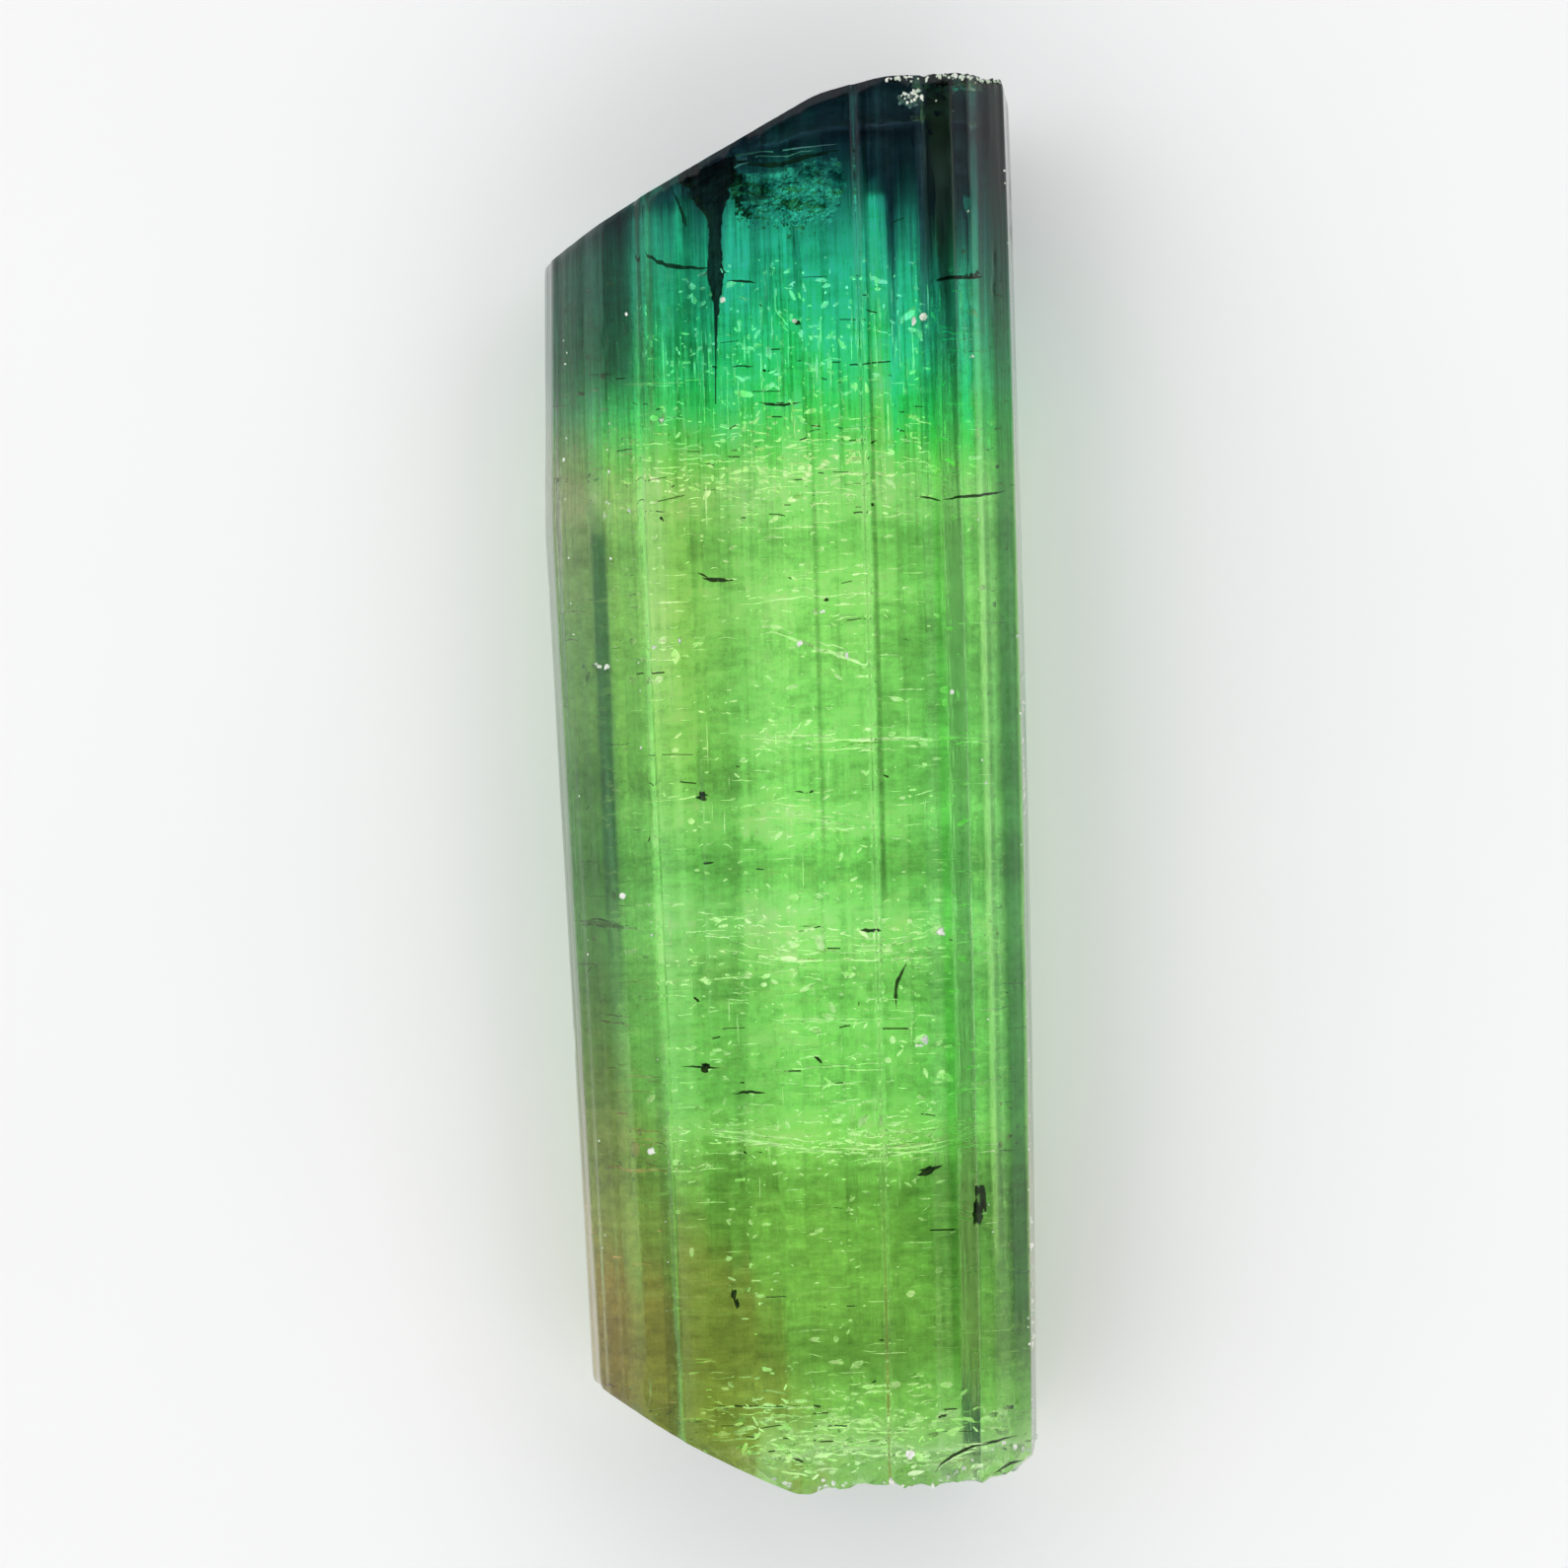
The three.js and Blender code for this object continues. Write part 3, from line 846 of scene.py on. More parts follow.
# bright flakes: x, y, length, width, angle, depth
SPOTS = [
    (3.94, 13.88, 0.45, 0.24, 40, 0.7),
    (-5.92, 3.75, 0.21, 0.18, 0, 0.8),
    (-5.62, 3.74, 0.21, 0.18, 0, 0.8),
    (4.24, -4.51, 0.42, 0.27, 25, 0.8),
    (3.64, -7.73, 0.45, 0.27, 30, 0.8),
    (4.38, -8.9, 0.24, 0.36, 60, 0.8),
    (4.2, -8.8, 0.18, 0.3, -40, 0.8),
    (-5.23, -3.2, 0.27, 0.24, 0, 0.7),
    (-6.75, -5.29, 0.21, 0.18, 0, 0.5),
    (-4.78, -10.81, 0.24, 0.48, 0, 0.9),
    (-4.67, -10.3, 0.18, 0.24, 0, 0.9),
    (-4.77, -11.71, 0.18, 0.15, 0, 1),
    (0.72, -4.76, 0.27, 0.42, 20, 1),
    (-0.22, -5.22, 0.54, 0.21, 0, 0.9),
    (0.91, 5.13, 0.21, 0.21, 0, 0.9),
    (1.59, 3.82, 0.24, 0.21, 30, 0.9),
    (-3.71, 11.04, 0.24, 0.21, 0, 0.8),
    (-5.08, 12.37, 0.18, 0.21, 20, 0.7),
    (-4.4, 4.43, 0.24, 0.21, 0, 1),
    (-3.65, 4.4, 0.24, 0.21, 0, 1),
    (-4.43, 3.26, 0.27, 0.21, -35, 1),
    (-3.8, 3.24, 0.27, 0.21, 35, 1),
    (-3.3, 3.91, 0.24, 0.42, 0, 1.1),
    (-4.08, 3.85, 0.42, 0.12, 0, 1),
    (4.45, 20.33, 0.42, 0.24, 20, 0.6),
    (4.29, 20.43, 0.21, 0.21, 0, 0.6),
    (4.73, 19.3, 0.15, 0.15, 0, 0.7),
    (5.52, 15.74, 0.18, 0.15, 0, 0.7),
    (-2.44, 14.51, 0.18, 0.24, 0, 0.8),
    (-2.49, 14.93, 0.24, 0.21, 0, 0.8),
    (6.03, -13.99, 0.33, 0.24, -20, 0.6),
    (6.62, -14.22, 0.18, 0.18, 0, 0.5),
    (3.99, -14.65, 0.27, 0.18, 20, 0.8),
    (3.1, -15.34, 0.27, 0.18, 10, 0.9),
    (0.84, -16.62, 0.18, 0.21, 0, 0.9),
    (0.21, -16.6, 0.27, 0.12, 10, 0.9),
    (3.16, -20.21, 0.39, 0.27, 0, 0.7),
    (0.56, -20.82, 0.3, 0.24, 0, 0.6),
    (-0.4, -21.09, 0.42, 0.18, -20, 0.5),
    (1.79, -18.06, 0.36, 0.15, 0, 0.9),
    (2.54, -18.03, 0.36, 0.21, 10, 0.9),
    (4.1, -18.1, 0.3, 0.18, 0, 0.9),
    (4.24, -19.49, 0.42, 0.21, 20, 0.7),
    (4.86, -20.56, 0.36, 0.21, 30, 0.6),
    (5.45, -21.18, 0.42, 0.18, 15, 0.6),
    (6.21, -20.75, 0.24, 0.24, 0, 0.5),
    (1.4, -20.9, 0.27, 0.18, 0, 0.6),
    (-0.67, -20.09, 0.24, 0.21, 0, 0.7),
    (-2.6, -19.34, 0.24, 0.18, 0, 0.8),
    (3.04, 1.41, 0.24, 0.15, 0, 0.9),
    (4.67, 2.68, 0.27, 0.21, 0, 0.9),
    (4.63, 2.29, 0.15, 0.24, 0, 0.9),
    (6.04, 5.19, 0.18, 0.18, 0, 0.8),
    (5.67, 5.68, 0.15, 0.18, 0, 0.8),
    (4.21, -0.88, 0.18, 0.18, 0, 1),
    (5.06, -1.3, 0.36, 0.12, 25, 0.9),
    (-1.39, 0.76, 0.24, 0.15, 0, 1.1),
    (-3, -1.02, 0.18, 0.18, 0, 1.2),
    (-3.39, 1.12, 0.18, 0.15, 0, 1.1),
    (5.72, 2.53, 0.18, 0.15, 0, 0.9),
    (-1.43, -5.66, 0.24, 0.21, 0, 1),
    (-2.64, -5.83, 0.27, 0.18, 0, 1),
    (-3.21, -7.8, 0.36, 0.15, 0, 1.2),
    (2.6, -8.33, 0.21, 0.18, 0, 1),
    (2.79, -7.74, 0.18, 0.24, 0, 1),
    (5.47, -4.73, 0.24, 0.18, 0, 0.9),
    (5.8, -4.65, 0.18, 0.15, 0, 0.9),
    (5.7, -11.01, 0.27, 0.21, 40, 0.8),
    (6.03, -10.78, 0.24, 0.18, 30, 0.8),
    (-0, 9.75, 0.27, 0.15, 0, 1.5),
    (0.59, 9.44, 0.21, 0.15, 0, 1.4),
    (-5.21, -11.25, 0.15, 0.15, 0, 1),
    (-3.7, -11.2, 0.21, 0.15, 0, 1.1),
    (-4.89, -12.76, 0.12, 0.12, 0, 1),
    (-3.75, -12.7, 0.27, 0.15, 0, 1.2),
    (-1.6, -13.07, 0.18, 0.15, 0, 1.3),
    (-2.29, -14.13, 0.21, 0.15, 0, 1.4),
    (-1.64, -14.36, 0.18, 0.18, 0, 1.4),
    (-3.34, -13.91, 0.15, 0.24, 0, 1.3),
    (6.45, 6.86, 0.15, 0.15, 0, 0.8),
    (4.88, 4.5, 0.21, 0.15, 0, 1.1),
    (2.57, 4.39, 0.3, 0.09, 0, 1),
    (2.22, 9.69, 0.24, 0.12, 0, 1.5),
    (3.24, 9.81, 0.24, 0.12, 0, 1.5),
    (4.43, 9.38, 0.27, 0.12, 0, 1.4),
    (5.49, 9.59, 0.24, 0.15, 0, 1.2),
    (6.23, 9.32, 0.15, 0.15, 0, 0.9),
]
# dark films: (points, width, depth)
DARK_THREADS = [
    ([(4.76, 8.35), (5.6, 8.47), (6.42, 8.6)], 0.1, 1),
    ([(4.04, 8.49), (4.76, 8.32)], 0.07, 1),
    ([(2.59, 8.29), (2.71, 8.26)], 0.14, 1.3),
    ([(-0.58, 11.42), (-0.16, 11.32), (0.17, 11.34), (0.65, 11.39)], 0.09, 1.3),
    ([(-1.39, 12.53), (-0.73, 12.51)], 0.06, 1.2),
    ([(-3.8, 16.11), (-3.42, 15.68), (-2.74, 15.54), (-1.93, 15.49)], 0.13, 1.6),
    ([(-2.45, 6.23), (-2.03, 6.15), (-1.52, 6.14)], 0.15, 0.9),
    ([(-2.57, 6.38), (-2.21, 6.22)], 0.08, 0.9),
    ([(-3.47, -8.33), (-2.33, -8.42)], 0.07, 1),
    ([(-2.02, -9.21), (-1.54, -9.14), (-1.03, -9.21)], 0.09, 1.2),
    ([(-2.94, -18.52), (-1.38, -18.6), (-0.03, -18.61)], 0.06, 1.3),
    ([(3.28, -5.47), (2.91, -6.09), (2.94, -6.81)], 0.12, 1.2),
    ([(3.56, -20.85), (3.82, -20.5), (4.22, -20.18), (4.88, -19.9), (5.49, -19.8), (6.03, -19.75)], 0.1, 0.7),
    ([(4.55, -21), (5.31, -20.66), (6.22, -20.45)], 0.08, 0.6),
    ([(-1.26, 18.71), (0.08, 18.46), (1.2, 18.78), (2.08, 18.91)], 0.16, 1.9),
    ([(-3.22, 18.47), (-3.05, 17.95), (-2.71, 17.28), (-2.61, 16.74)], 0.1, 1.6),
    ([(-1.04, 18.01), (-0.43, 17.48), (0.18, 17.58)], 0.06, 1.3),
    ([(-1.4, 15.11), (-0.56, 15.02)], 0.09, 1.4),
    ([(0.79, -21.45), (1.68, -21.51)], 0.1, 0.6),
    ([(1.16, 5.46), (1.31, 5.48)], 0.14, 1),
    ([(1.91, -4.41), (2.5, -4.46)], 0.1, 1.3),
    ([(-2.65, -2.29), (-2.35, -2.27)], 0.08, 1.2),
    ([(7.02, 14.64), (7.29, 14.48)], 0.06, 0.6),
]
# dark grains: x, y, length, width, angle, depth
DARK_SPOTS = [
    (3.79, -11.64, 0.72, 0.24, 18, 0.8),
    (5.2, -12.55, 0.26, 0.8, 4, 0.9),
    (5.12, -12.95, 0.13, 0.7, -6, 1.0),
    (-2.15, -15.21, 0.24, 0.42, 10, 1),
    (-2.06, -15.45, 0.15, 0.36, 0, 1),
    (-2.78, -8.38, 0.27, 0.33, 0, 0.9),
    (-2.59, -0.25, 0.24, 0.3, 30, 1.1),
    (-2.65, -0.31, 0.36, 0.12, 10, 1.1),
    (-1.78, 15.54, 0.27, 0.51, 0, 1),
    (-1.73, 16.05, 0.18, 0.6, 0, 1.1),
    (-1.75, 14.37, 0.21, 0.78, 0, 1.3),
    (5.2, 15, 1.02, 0.21, 3, 1.6),
    (5.55, 15.12, 0.26, 0.22, 0, 1.5),
    (0.63, 13.76, 0.18, 0.15, 0, 1.2),
]


FRONT_X, FRONT_Z = zip(*[(x, z) for x, z, _ in SECTION[:14]])
BACK_X, BACK_Z = zip(*sorted([(x, z) for x, z, _ in SECTION[13:] + SECTION[:1]]))


def seat(x, y, depth):
    """Height z of a place this far below the front surface, kept inside the crystal, and whether it fits."""
    share = x / np.where(x < 0, half_left(y), half_right(y))
    front = np.interp(share, FRONT_X, FRONT_Z) * height(y) - 0.22
    back = np.interp(share, BACK_X, BACK_Z) * height(y) + 0.22
    z = np.clip(front + 0.22 - depth, back, front)
    top = np.min([a + bx * x + bz * z for a, bx, bz in TOP_FACES], axis=0)
    low = np.max([a + bx * x + bz * z for a, bx, bz in BOTTOM_FACES], axis=0)
    fits = (np.abs(share) < 0.965) & (front > back) & (y < top - 0.2) & (y > low + 0.45)
    return z, fits


class Bits:
    """Gathers small pieces of surface into one mesh."""

    def __init__(self):
        self.verts, self.faces = [], []

    def add(self, verts, faces):
        start = len(self.verts)
        self.verts += [tuple(map(float, v)) for v in verts]
        self.faces += [[start + i for i in f] for f in faces]

    def strip(self, x, y, z, width, tilt):
        """A ribbon along points x, y, z; tilt turns it about its own length."""
        dx, dy = np.gradient(x), np.gradient(y)
        n = np.hypot(dx, dy) + 1e-9
        ox, oy = -dy / n * np.cos(tilt), dx / n * np.cos(tilt)
        oz = np.sin(tilt)
        half = width / 2
        a = np.stack([x + ox * half, y + oy * half, z + oz * half], 1)
        b = np.stack([x - ox * half, y - oy * half, z - oz * half], 1)
        k = len(x)
        self.add(np.concatenate([a, b]), [[i, i + 1, k + i + 1, k + i] for i in range(k - 1)])

    def flake(self, x, y, z, length, width, turn, lean, lean_way, r, sides=7):
        """A small uneven plate, tilted a little."""
        t = np.linspace(0, 2 * np.pi, sides, endpoint=False)
        grow = r.uniform(0.75, 1.15, sides)
        px, py = np.cos(t) * length / 2 * grow, np.sin(t) * width / 2 * grow
        c, s = math.cos(turn), math.sin(turn)
        px, py = px * c - py * s, px * s + py * c
        pz = (px * math.cos(lean_way) + py * math.sin(lean_way)) * math.tan(lean)
        pz = pz + r.normal(0, 0.015, sides) * min(length, width)
        ring = np.stack([x + px, y + py, z + pz], 1)
        self.add(
            np.concatenate([ring, [[x, y, z]]]),
            [[i, (i + 1) % sides, sides] for i in range(sides)],
        )

    def grain(self, x, y, z, length, width, thick, turn, r, sides=13):
        """A small solid grain with an uneven outline."""
        t = np.linspace(0, 2 * np.pi, sides, endpoint=False)
        grow = r.uniform(0.5, 1.25, sides)
        px, py = np.cos(t) * length / 2 * grow, np.sin(t) * width / 2 * grow
        c, s = math.cos(turn), math.sin(turn)
        px, py = px * c - py * s, px * s + py * c
        ring = np.stack([x + px, y + py, z + r.normal(0, thick * 0.12, sides)], 1)
        tips = [[x, y, z + thick / 2], [x, y, z - thick / 2]]
        faces = [[i, (i + 1) % sides, sides] for i in range(sides)]
        faces += [[(i + 1) % sides, i, sides + 1] for i in range(sides)]
        self.add(np.concatenate([ring, tips]), faces)

    def piece(self, name, material):
        ob = make_object(name, self.verts, self.faces, material)
        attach(ob, "root")
        return ob


def along_points(points, pitch=0.13):
    """x and y at an even pitch along a smoothed line through the points."""
    p = np.array(points, float)
    for _ in range(3):  # corner cutting
        if len(p) > 2:
            q, s = 0.75 * p[:-1] + 0.25 * p[1:], 0.25 * p[:-1] + 0.75 * p[1:]
            p = np.concatenate([p[:1], np.stack([q, s], 1).reshape(-1, 2)[1:-1], p[-1:]])
    step = np.concatenate([[0], np.cumsum(np.hypot(*np.diff(p, axis=0).T))])
    at_step = np.linspace(0, step[-1], max(int(step[-1] / pitch), 3) + 1)
    return np.interp(at_step, step, p[:, 0]), np.interp(at_step, step, p[:, 1])


def wavering(n, r, steps=4):
    """n numbers near -1 to 1 that change slowly."""
    return np.interp(np.linspace(0, 1, n), np.linspace(0, 1, steps + 2), r.uniform(-1, 1, steps + 2))


def bright_bits():
    bits = Bits()
    r = np.random.default_rng(211)

    def thread(x, y, width, depth, broken=0.0):
        n = len(x)
        z, fits = seat(x, y, depth + min(0.15, 0.02 * (np.ptp(x) + np.ptp(y))) * wavering(n, r, 6))
        taper = np.minimum(1, np.minimum(np.arange(n), np.arange(n)[::-1]) / (0.25 * n) + 0.15)
        wide = width * taper * (0.65 + 0.5 * np.abs(wavering(n, r, n // 2 + 2)))
        lean = math.radians(r.choice([-1, 1]) * r.uniform(7.5, 11)) + math.radians(2.5) * wavering(n, r, n // 3 + 2)
        keep = fits & (r.random(n) > broken)
        start = None
        for i in range(n + 1):
            if i < n and keep[i]:
                start = i if start is None else start
            elif start is not None:
                if i - start >= 2:
                    bits.strip(x[start:i], y[start:i], z[start:i], wide[start:i], lean[start:i])
                start = None

    for points, width, depth, strands in THREADS:
        for k in range(strands):
            x, y = along_points(points)
            n = len(x)
            if k:
                cut = sorted(r.integers(0, n, 2))
                if cut[1] - cut[0] < 3:
                    cut = [0, n]
                x, y = x[cut[0] : cut[1]], y[cut[0] : cut[1]]
                n = len(x)
                y = y + r.normal(0, 0.16) + 0.08 * wavering(n, r)
            y = y + 0.03 * wavering(n, r, n // 2 + 2)
            thread(x, y, 0.75 * width * (1 if k == 0 else r.uniform(0.4, 0.8)), depth + 0.2 * k, 0.06)

    # short wisps across the length, thickest in a few bands
    bands = [(9.4, 0.75, 210), (12.2, 1.3, 30), (5.6, 0.5, 34), (1.25, 0.35, 34), (-1.0, 0.5, 40),
             (-4.7, 0.5, 64), (-7.5, 0.9, 50), (-10.7, 0.5, 90), (-18.3, 0.9, 60), (-19.8, 0.7, 190)]
    for middle, spread, count in bands:
        for _ in range(count):
            x0, y0 = r.normal(0.8, 2.9), r.normal(middle, spread)
            if abs(x0) > 6.2:
                continue
            length = r.gamma(2.0, 0.2) + 0.1
            x, y = along_points([(x0 - length / 2, y0 + r.normal(0, 0.05)), (x0, y0), (x0 + length / 2, y0 + r.normal(0, 0.06))], 0.07)
            thread(x, y + 0.025 * wavering(len(x), r, 5), r.uniform(0.015, 0.065), r.gamma(2.0, 0.8) + 0.3, 0.06)
    for _ in range(330):
        x0, y0 = r.uniform(-6.3, 6.5), r.uniform(-20.5, 13.0)
        length = r.gamma(1.6, 0.22) + 0.1
        x, y = along_points([(x0 - length / 2, y0), (x0, y0 + r.normal(0, 0.05)), (x0 + length / 2, y0)], 0.09)
        thread(x, y, r.uniform(0.015, 0.05), r.gamma(2.0, 1.2) + 0.3)
    # thin upright hairs
    for _ in range(260):
        x0, y0 = r.uniform(-6.0, 6.3), (r.uniform(-14.0, 15.0) if r.random() < 0.35 else r.normal(12.4, 1.6))
        length = r.gamma(2.0, 0.4) + 0.25
        x, y = along_points([(x0, y0 - length / 2), (x0, y0 + length / 2)], 0.2)
        thread(x, y, r.uniform(0.015, 0.035), r.gamma(2.0, 1.0) + 0.3)

    def plate(x0, y0, length, width, angle, depth):
        z, fits = seat(np.float64(x0), np.float64(y0), depth)
        if fits:
            lean_way = r.choice([-1, 1]) * math.pi / 2 + r.normal(0, 0.5)
            bits.flake(x0, y0, float(z), length, width, math.radians(angle), math.radians(r.uniform(7.5, 11)), lean_way, r)

    for x0, y0, length, width, angle, depth in SPOTS:
        plate(x0, y0, length * 1.1, width * 1.1, angle, depth)
    # sparkling crumbs at the +X corner of the top
    for count, mx, my, sx, sy in ((26, 4.2, 20.25, 0.22, 0.12), (46, 6.0, 20.75, 0.6, 0.05), (14, 4.9, 20.1, 0.5, 0.3)):
        for _ in range(count):
            x0, y0 = r.normal(mx, sx), r.normal(my, sy)
            if abs(x0) < 6.9:
                size = r.uniform(0.05, 0.16)
                z0 = float(np.interp(x0 / 7.3, FRONT_X, FRONT_Z) * height(y0)) - r.uniform(0.12, 0.4)
                if y0 < min(a + bx * x0 + bz * z0 for a, bx, bz in TOP_FACES) - 0.16:
                    bits.flake(x0, y0, z0, size * 1.5, size, r.uniform(0, 3), math.radians(r.uniform(7.5, 11)), r.uniform(0, 6.28), r)
    # specks: a dust of small ones, more under the cap, in the bright bands and by the break
    for count, middle, spread in ((420, 13.4, 1.6), (300, 9.5, 0.8), (170, -4.8, 0.9), (170, -10.6, 0.8), (420, -19.9, 1.0), (760, -2.0, 9.0)):
        for _ in range(count):
            x0, y0 = r.normal(0.6, 3.2), r.normal(middle, spread)
            if abs(x0) > 6.3 or y0 > 15.8:
                continue
            size = r.gamma(2.0, 0.025) + 0.035
            size, long = size * 0.85, r.uniform(1.3, 3.4)
            angle = r.normal(0, 28)
            if middle < -19:
                size, long = size * 1.25, r.uniform(1.6, 4.5)
            elif middle > 13:
                size, angle = size * 0.95, angle + (90 if r.random() < 0.6 else 0)
            plate(x0, y0, size * long, size, angle, r.gamma(2.0, 0.9) + 0.3)
    return bits


def dark_bits():
    bits = Bits()
    r = np.random.default_rng(223)
    for points, width, depth in DARK_THREADS:
        x, y = along_points(points, 0.09)
        z, fits = seat(x, y, np.full(len(x), depth))
        x, y, z = x[fits], y[fits], z[fits]
        n = len(x)
        if n < 4:
            continue
        taper = np.minimum(1, np.minimum(np.arange(n), np.arange(n)[::-1]) / (0.3 * n) + 0.1)
        wide = width * taper * (0.7 + 0.5 * np.abs(wavering(n, r, n // 2 + 2)))
        bits.strip(x, y + 0.02 * wavering(n, r, n // 2 + 2), z, wide, 0.5 * wavering(n, r, 5))
    for x0, y0, length, width, angle, depth in DARK_SPOTS:
        z, fits = seat(np.float64(x0), np.float64(y0), depth)
        if fits:
            bits.grain(x0, y0, float(z), length, width, min(length, width) * 0.6, math.radians(angle), r)
    # dust, and short dark cracks across the length
    for count, middle, spread in ((40, 12.6, 1.8), (40, 9.0, 1.0), (70, -2.0, 9.0), (30, -19.4, 0.6)):
        for _ in range(count):
            x0, y0 = r.normal(0.4, 3.1), r.normal(middle, spread)
            if abs(x0) > 6.2:
                continue
            z, fits = seat(np.float64(x0), np.float64(y0), r.gamma(2.0, 1.0) + 0.4)
            if not fits:
                continue
            length = r.gamma(1.5, 0.1) + 0.05
            if r.random() < 0.5:
                bits.grain(x0, y0, float(z), length * 0.6, length * 0.2, length * 0.2, r.normal(0, 0.7), r, 6)
            else:
                x, y = along_points([(x0 - length, y0), (x0 + length, y0 + r.normal(0, 0.05))], 0.09)
                bits.strip(x, y, np.full(len(x), float(z)), np.full(len(x), r.uniform(0.02, 0.05)), 0.4 * wavering(len(x), r))
    return bits


def funnel():
    """The dark hollow that runs down from the top end, narrowing to a thread, with one swelling."""
    bits = Bits()
    r = np.random.default_rng(229)
    # x and y of the left and right side, from the top down
    left = [(-2.6, 18.12), (-2.42, 17.8), (-2.22, 17.45), (-2.02, 17.1), (-1.93, 16.8), (-1.9, 16.3), (-1.97, 15.8),
            (-2.0, 15.4), (-1.96, 15.0), (-1.88, 14.6), (-1.83, 14.2), (-1.86, 13.0), (-1.9, 11.4)]
    right = [(-1.2, 18.85), (-1.22, 18.3), (-1.32, 17.7), (-1.46, 17.2), (-1.58, 16.85), (-1.62, 16.3), (-1.58, 15.8),
             (-1.54, 15.4), (-1.58, 15.0), (-1.66, 14.6), (-1.74, 14.2), (-1.81, 13.0), (-1.88, 11.4)]
    lx, ly = along_points(left, 0.12)
    t = np.linspace(0, 1, len(lx))
    rx0, ry0 = along_points(right, 0.12)
    t0 = np.linspace(0, 1, len(rx0))
    rx, ry = np.interp(t, t0, rx0), np.interp(t, t0, ry0)
    sides, verts = 14, []
    for k in range(len(t)):
        mx, my = (lx[k] + rx[k]) / 2, (ly[k] + ry[k]) / 2
        half = max((rx[k] - lx[k]) / 2 * 1.15, 0.02)
        z, _ = seat(np.float64(mx), np.float64(my), 0.6 + half)
        for i in range(sides):
            turn = 2 * math.pi * i / sides
            g = 1 + 0.13 * r.normal()
            verts.append(
                (mx + half * g * math.cos(turn), my + (ry[k] - ly[k]) / 2 * math.cos(turn), float(z) + 0.45 * half * g * math.sin(turn))
            )
    rings = len(t)
    faces = [
        [k * sides + i, k * sides + (i + 1) % sides, (k + 1) * sides + (i + 1) % sides, (k + 1) * sides + i]
        for k in range(rings - 1)
        for i in range(sides)
    ]
    faces += [list(range(sides))[::-1], [(rings - 1) * sides + i for i in range(sides)]]
    bits.add(verts, faces)
    return bits


def crack_sheet():
    """A curved, crinkled crack under the cap, dark above and catching light below."""
    bits = Bits()
    edge = np.array([(-1.27, 18.3), (0.08, 18.35), (1.2, 18.6), (2.02, 18.7), (2.23, 17.94), (1.9, 16.84),
                     (1.25, 16.35), (0.49, 16.13), (-0.46, 16.45), (-1.19, 16.93)])
    pitch = 0.062
    xs, ys = np.arange(-1.35, 2.35, pitch), np.arange(16.0, 18.8, pitch)
    gx, gy = np.meshgrid(xs, ys)
    inside = np.zeros(gx.shape, bool)
    for i in range(len(edge)):
        (ax, ay), (bx, by) = edge[i], edge[(i + 1) % len(edge)]
        hit = ((ay > gy) != (by > gy)) & (gx < ax + (gy - ay) / (by - ay + 1e-12) * (bx - ax))
        inside ^= hit
    wave = 0.14 * fbm(gx * 0.9 + gy * 0.5, gy * 2.4, 0 * gx, 311, 3) + 0.016 * fbm(gx * 5, gy * 8, 0 * gx, 313, 3)
    dish = 0.10 * ((gx - 1.6) ** 2 * 0.6 + (gy - 18.3) ** 2)
    z, _ = seat(gx, gy, 1.5 + dish + wave)
    number = -np.ones(gx.shape, int)
    number[inside] = np.arange(inside.sum())
    r = np.random.default_rng(317)
    jag = r.normal(0, 0.015, (2, *gx.shape))
    whole = smooth(16.1, 17.4, gy + 0.4 * fbm(gx * 2.2, gy * 3.5, 0 * gx, 319, 3) + 0.12 * (gx - 1.0))
    verts = np.stack([gx + jag[0], gy + jag[1], z], -1)[inside]
    faces = []
    for i in range(len(ys) - 1):
        for j in range(len(xs) - 1):
            q = [number[i, j], number[i, j + 1], number[i + 1, j + 1], number[i + 1, j]]
            if min(q) >= 0 and r.random() < whole[i, j]:
                faces.append([q[0], q[1], q[2]])
                faces.append([q[0], q[2], q[3]])
    bits.add(verts, faces)
    return bits


# painted glints in the front face, made as white chips: x, y, size in mm, how many chips
FRONT_GLINTS = [
    (4.16, 13.84, 0.32, 1), (4.05, 13.72, 0.24, 1), (-5.68, 3.72, 0.18, 3), (-5.42, 3.7, 0.18, 3), (-5.11, -3.2, 0.2, 3),
    (4.37, -4.55, 0.24, 4), (3.73, -7.77, 0.22, 3), (3.6, -7.9, 0.16, 2), (-4.5, -10.8, 0.2, 3), (-3.48, 10.97, 0.2, 3),
    (2.93, -20.1, 0.26, 4), (1.09, 5.1, 0.12, 2), (1.83, 3.78, 0.16, 2), (0.37, 4.16, 0.16, 3), (0.51, 13.77, 0.16, 2),
    (-1.6, 14.46, 0.12, 2), (-4.6, 8.3, 0.12, 3), (-3.2, 4.4, 0.13, 3), (-3.9, 4.2, 0.12, 2), (4.9, 2.6, 0.12, 2),
]


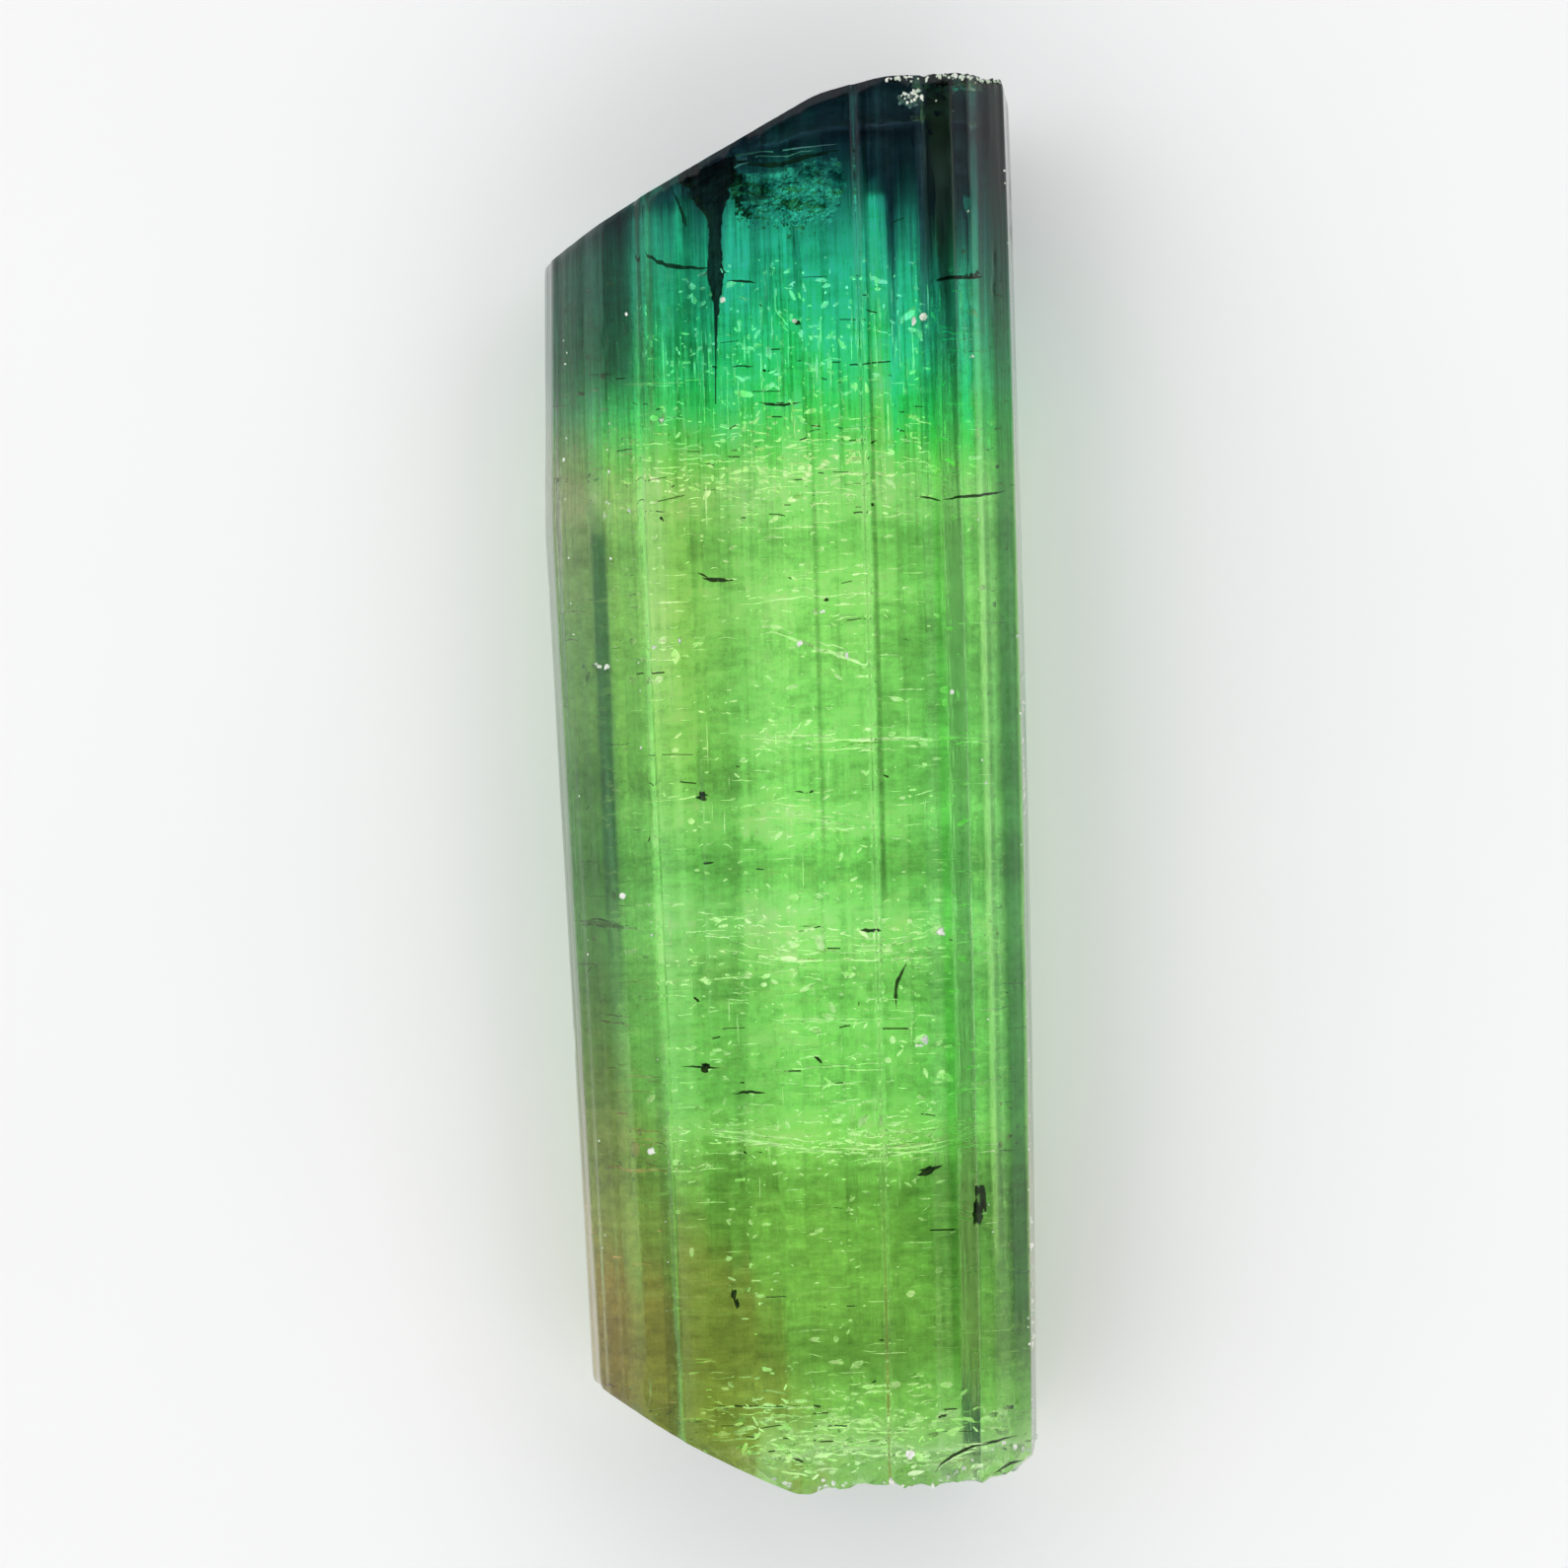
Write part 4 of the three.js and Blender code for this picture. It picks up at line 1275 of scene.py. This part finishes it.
def glint_chips():
    """Pale chips on the outside that paint glints and reflections: along the top corner, the long edges and the broken
    end.
    """
    bits = Bits()
    r = np.random.default_rng(233)

    def glint_chip(x, y, size):
        share = x / (half_left(y) if x < 0 else half_right(y))
        z = np.interp([share - 0.01, share, share + 0.01], FRONT_X, FRONT_Z) * height(y)
        slope = math.degrees(math.atan2(z[2] - z[0], 0.02 * 7.2))
        t = np.linspace(0, 2 * np.pi, 6, endpoint=False)
        grow = r.uniform(0.6, 1.2, 6) * size / 2
        px, py = np.cos(t) * grow, np.sin(t) * grow * r.uniform(0.6, 1.6)
        pz = px * math.tan(math.radians(np.clip(slope, -60, 60)))
        ring = np.stack([x + px, y + py, z[1] + pz - 0.02], 1)
        bits.add(np.concatenate([ring, [[x, y, z[1] + 0.012]]]), [[i, (i + 1) % 6, 6] for i in range(6)])

    def end(find, x):
        z = float(np.interp(x / 7.25, FRONT_X, FRONT_Z) * HEIGHT)
        return float(find(np.array([x]), np.array([z]))[0])

    for _ in range(64):
        x = r.uniform(3.4, 6.95)
        glint_chip(x, end(top_y, x) - 0.03 - abs(r.normal(0, 0.05)), r.uniform(0.03, 0.13))
    for _ in range(30):
        glint_chip(r.normal(4.25, 0.2), r.normal(20.35, 0.1), r.uniform(0.03, 0.13))
    for share, low, high, count in ((0.965, -19, 19, 30), (0.8, -14, 18, 14), (-0.62, -16, 15, 16), (-0.9, -17, 14, 18), (-0.72, 3, 12.5, 16)):
        for _ in range(count):
            y = r.uniform(low, high)
            half = half_left(y) if share < 0 else half_right(y)
            glint_chip(float(share * half) + r.normal(0, 0.05), y, r.uniform(0.03, 0.09))
    for low, high in ((-1.2, 3.2), (-17.4, -13.0)):  # flesh-pink chips down the +X edge, a painted reflection
        for _ in range(14):
            y = r.uniform(low, high)
            glint_chip(float(0.972 * half_right(y)), y, r.uniform(0.1, 0.2))
    for _ in range(46):
        x = r.uniform(-1.2, 6.9)
        glint_chip(x, end(bottom_y, x) + 0.05 + abs(r.normal(0, 0.08)), r.uniform(0.04, 0.16))
    for x, y, size, count in FRONT_GLINTS:
        for _ in range(count):
            glint_chip(x + r.normal(0, 0.25 * size), y + r.normal(0, 0.18 * size), size * r.uniform(0.6, 1.1))
    return bits


def inner_material(name, low, high, metal, rough, size):
    """Two tones in fine specks, as thin films and grains have."""
    net = Net(name)
    p, _, _, _ = net.place()
    speck = net.noise(p, (size, size, size), 3, 0.6)
    shader = net.node("ShaderNodeBsdfPrincipled")
    net.feed(shader.inputs["Base Color"], net.ramp(speck, [(0.35, low), (0.65, high)]))
    net.feed(shader.inputs["Roughness"], net.step(speck, 0.3, 0.7, rough - 0.06, rough + 0.06, "LINEAR"))
    shader.inputs["Metallic"].default_value = metal
    net.feed(net.out.inputs["Surface"], shader.outputs[0])
    return net.material


# ---------------------------------------------------------------------------------------------
# build
# ---------------------------------------------------------------------------------------------
verts, polygons = crystal_mesh()
crystal = make_object("tourmaline_surface", verts, polygons, crystal_material())
for poly in crystal.data.polygons:
    poly.use_smooth = True
for name, values in zip(("growth_scale", "growth_zones", "growth_sides", "growth_tones"), growth(*verts.T), strict=True):
    layer = crystal.data.color_attributes.new(name, "FLOAT_COLOR", "POINT")
    layer.data.foreach_set("color", values.astype(np.float32).ravel())
crystal.data.set_sharp_from_angle(angle=math.radians(24))
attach(crystal, "root")
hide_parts("tourmaline_crystal")

bright_bits().piece(
    "healed_crack_films", inner_material("bright_film", (0.5, 0.74, 0.36), (0.98, 1.0, 0.84), 1.0, 0.27, 2.6)
)
dark_bits().piece(
    "dark_inclusions", inner_material("dark_grain", (0.008, 0.02, 0.01), (0.04, 0.06, 0.02), 0.0, 0.5, 5.0)
)
funnel().piece("tapering_hollow", inner_material("hollow_wall", (0.004, 0.01, 0.012), (0.014, 0.035, 0.036), 0.0, 0.4, 4.0))
crack_sheet().piece("crinkled_crack", inner_material("crack_film", (0.02, 0.12, 0.1), (0.16, 0.5, 0.38), 1.0, 0.24, 2.2))
# pale chips that paint glints and reflections
glint_chips().piece("glint_chips", inner_material("glint_paint", (0.36, 0.5, 0.34), (0.95, 0.93, 0.86), 0.0, 0.4, 3.0))

# ---------------------------------------------------------------------------------------------
# floor, light, camera
# ---------------------------------------------------------------------------------------------
floor_net = Net("floor_pale")
fp, _, _, _ = floor_net.place()
floor_tone = floor_net.step(floor_net.noise(fp, (0.05, 0.05, 0.05), 4, 0.5), 0.3, 0.7, 0.985, 1.0)
floor_shader = floor_net.node("ShaderNodeBsdfPrincipled")
floor_net.feed(
    floor_shader.inputs["Base Color"],
    floor_net.mix(1.0, (0.93, 0.93, 0.92), floor_net.grey(floor_tone), "MULTIPLY"),
)
floor_shader.inputs["Roughness"].default_value = 0.7
floor_net.feed(floor_net.out.inputs["Surface"], floor_shader.outputs[0])
side = 700.0
floor = make_object(
    "floor",
    [(-side, -side, -0.05), (side, -side, -0.05), (side, side, -0.05), (-side, side, -0.05)],
    [[0, 1, 2, 3]],
    floor_net.material,
    shift=np.zeros(3),
)

# brightness of the soft tent round the set, by the sine of the elevation: brightest high up, with a dark
# opening for the camera right overhead; it is a third brighter on the -X side, where the key light is
SKY = ((0.0, 0.5), (0.3, 0.6), (0.6, 0.9), (0.76, 1.35), (0.92, 1.35), (0.97, 0.06), (1.0, 0.03))

world = bpy.data.worlds.new("soft_tent")
bpy.context.scene.world = world
world.use_nodes = True
wt = world.node_tree
wt.nodes.clear()
w_out = wt.nodes.new("ShaderNodeOutputWorld")
w_bg = wt.nodes.new("ShaderNodeBackground")
w_co = wt.nodes.new("ShaderNodeTexCoord")
w_sep = wt.nodes.new("ShaderNodeSeparateXYZ")
w_ramp = wt.nodes.new("ShaderNodeValToRGB")
w_side = wt.nodes.new("ShaderNodeMapRange")
wt.links.new(w_co.outputs["Generated"], w_sep.inputs[0])
wt.links.new(w_sep.outputs["Z"], w_ramp.inputs[0])
wt.links.new(w_sep.outputs["X"], w_side.inputs["Value"])
w_side.inputs["From Min"].default_value, w_side.inputs["From Max"].default_value = -0.8, 0.8
w_side.inputs["To Min"].default_value, w_side.inputs["To Max"].default_value = 1.26, 0.93
ramp = w_ramp.color_ramp
ramp.interpolation = "EASE"
for e, (at_z, tone) in zip(list(ramp.elements) + [None] * 9, SKY):
    e = e or ramp.elements.new(at_z)
    e.position, e.color = at_z, (tone, tone, tone * 1.02, 1)
wt.links.new(w_ramp.outputs[0], w_bg.inputs["Color"])
wt.links.new(w_side.outputs[0], w_bg.inputs["Strength"])
wt.links.new(w_bg.outputs[0], w_out.inputs["Surface"])
world.cycles.sampling_method = "NONE"  # an even tent needs no light sampling

camera_data = bpy.data.cameras.new("camera")
camera_data.lens = 190
camera_data.sensor_width = 36
camera_data.clip_start = 0.01
camera = bpy.data.objects.new("camera", camera_data)
bpy.context.scene.collection.objects.link(camera)
WIDE = 1590 * 0.03  # the frame's width at the height of the crystal's widest part, in mm
away = WIDE / 36 * camera_data.lens
camera.location = Vector((-0.2198, 0.1055, 5.3 + away)) * MM
camera.rotation_euler = (0, 0, -math.radians(1.75))
bpy.context.scene.camera = camera

scene = bpy.context.scene
scene.view_settings.view_transform = "Standard"
scene.cycles.max_bounces = 24
scene.cycles.transmission_bounces = 20
scene.cycles.diffuse_bounces = 6
scene.cycles.glossy_bounces = 8
scene.cycles.transparent_max_bounces = 48
scene.cycles.sample_clamp_indirect = 6.0
scene.cycles.blur_glossy = 0.0  # blurred bounces lose much of the light that comes up through the glass
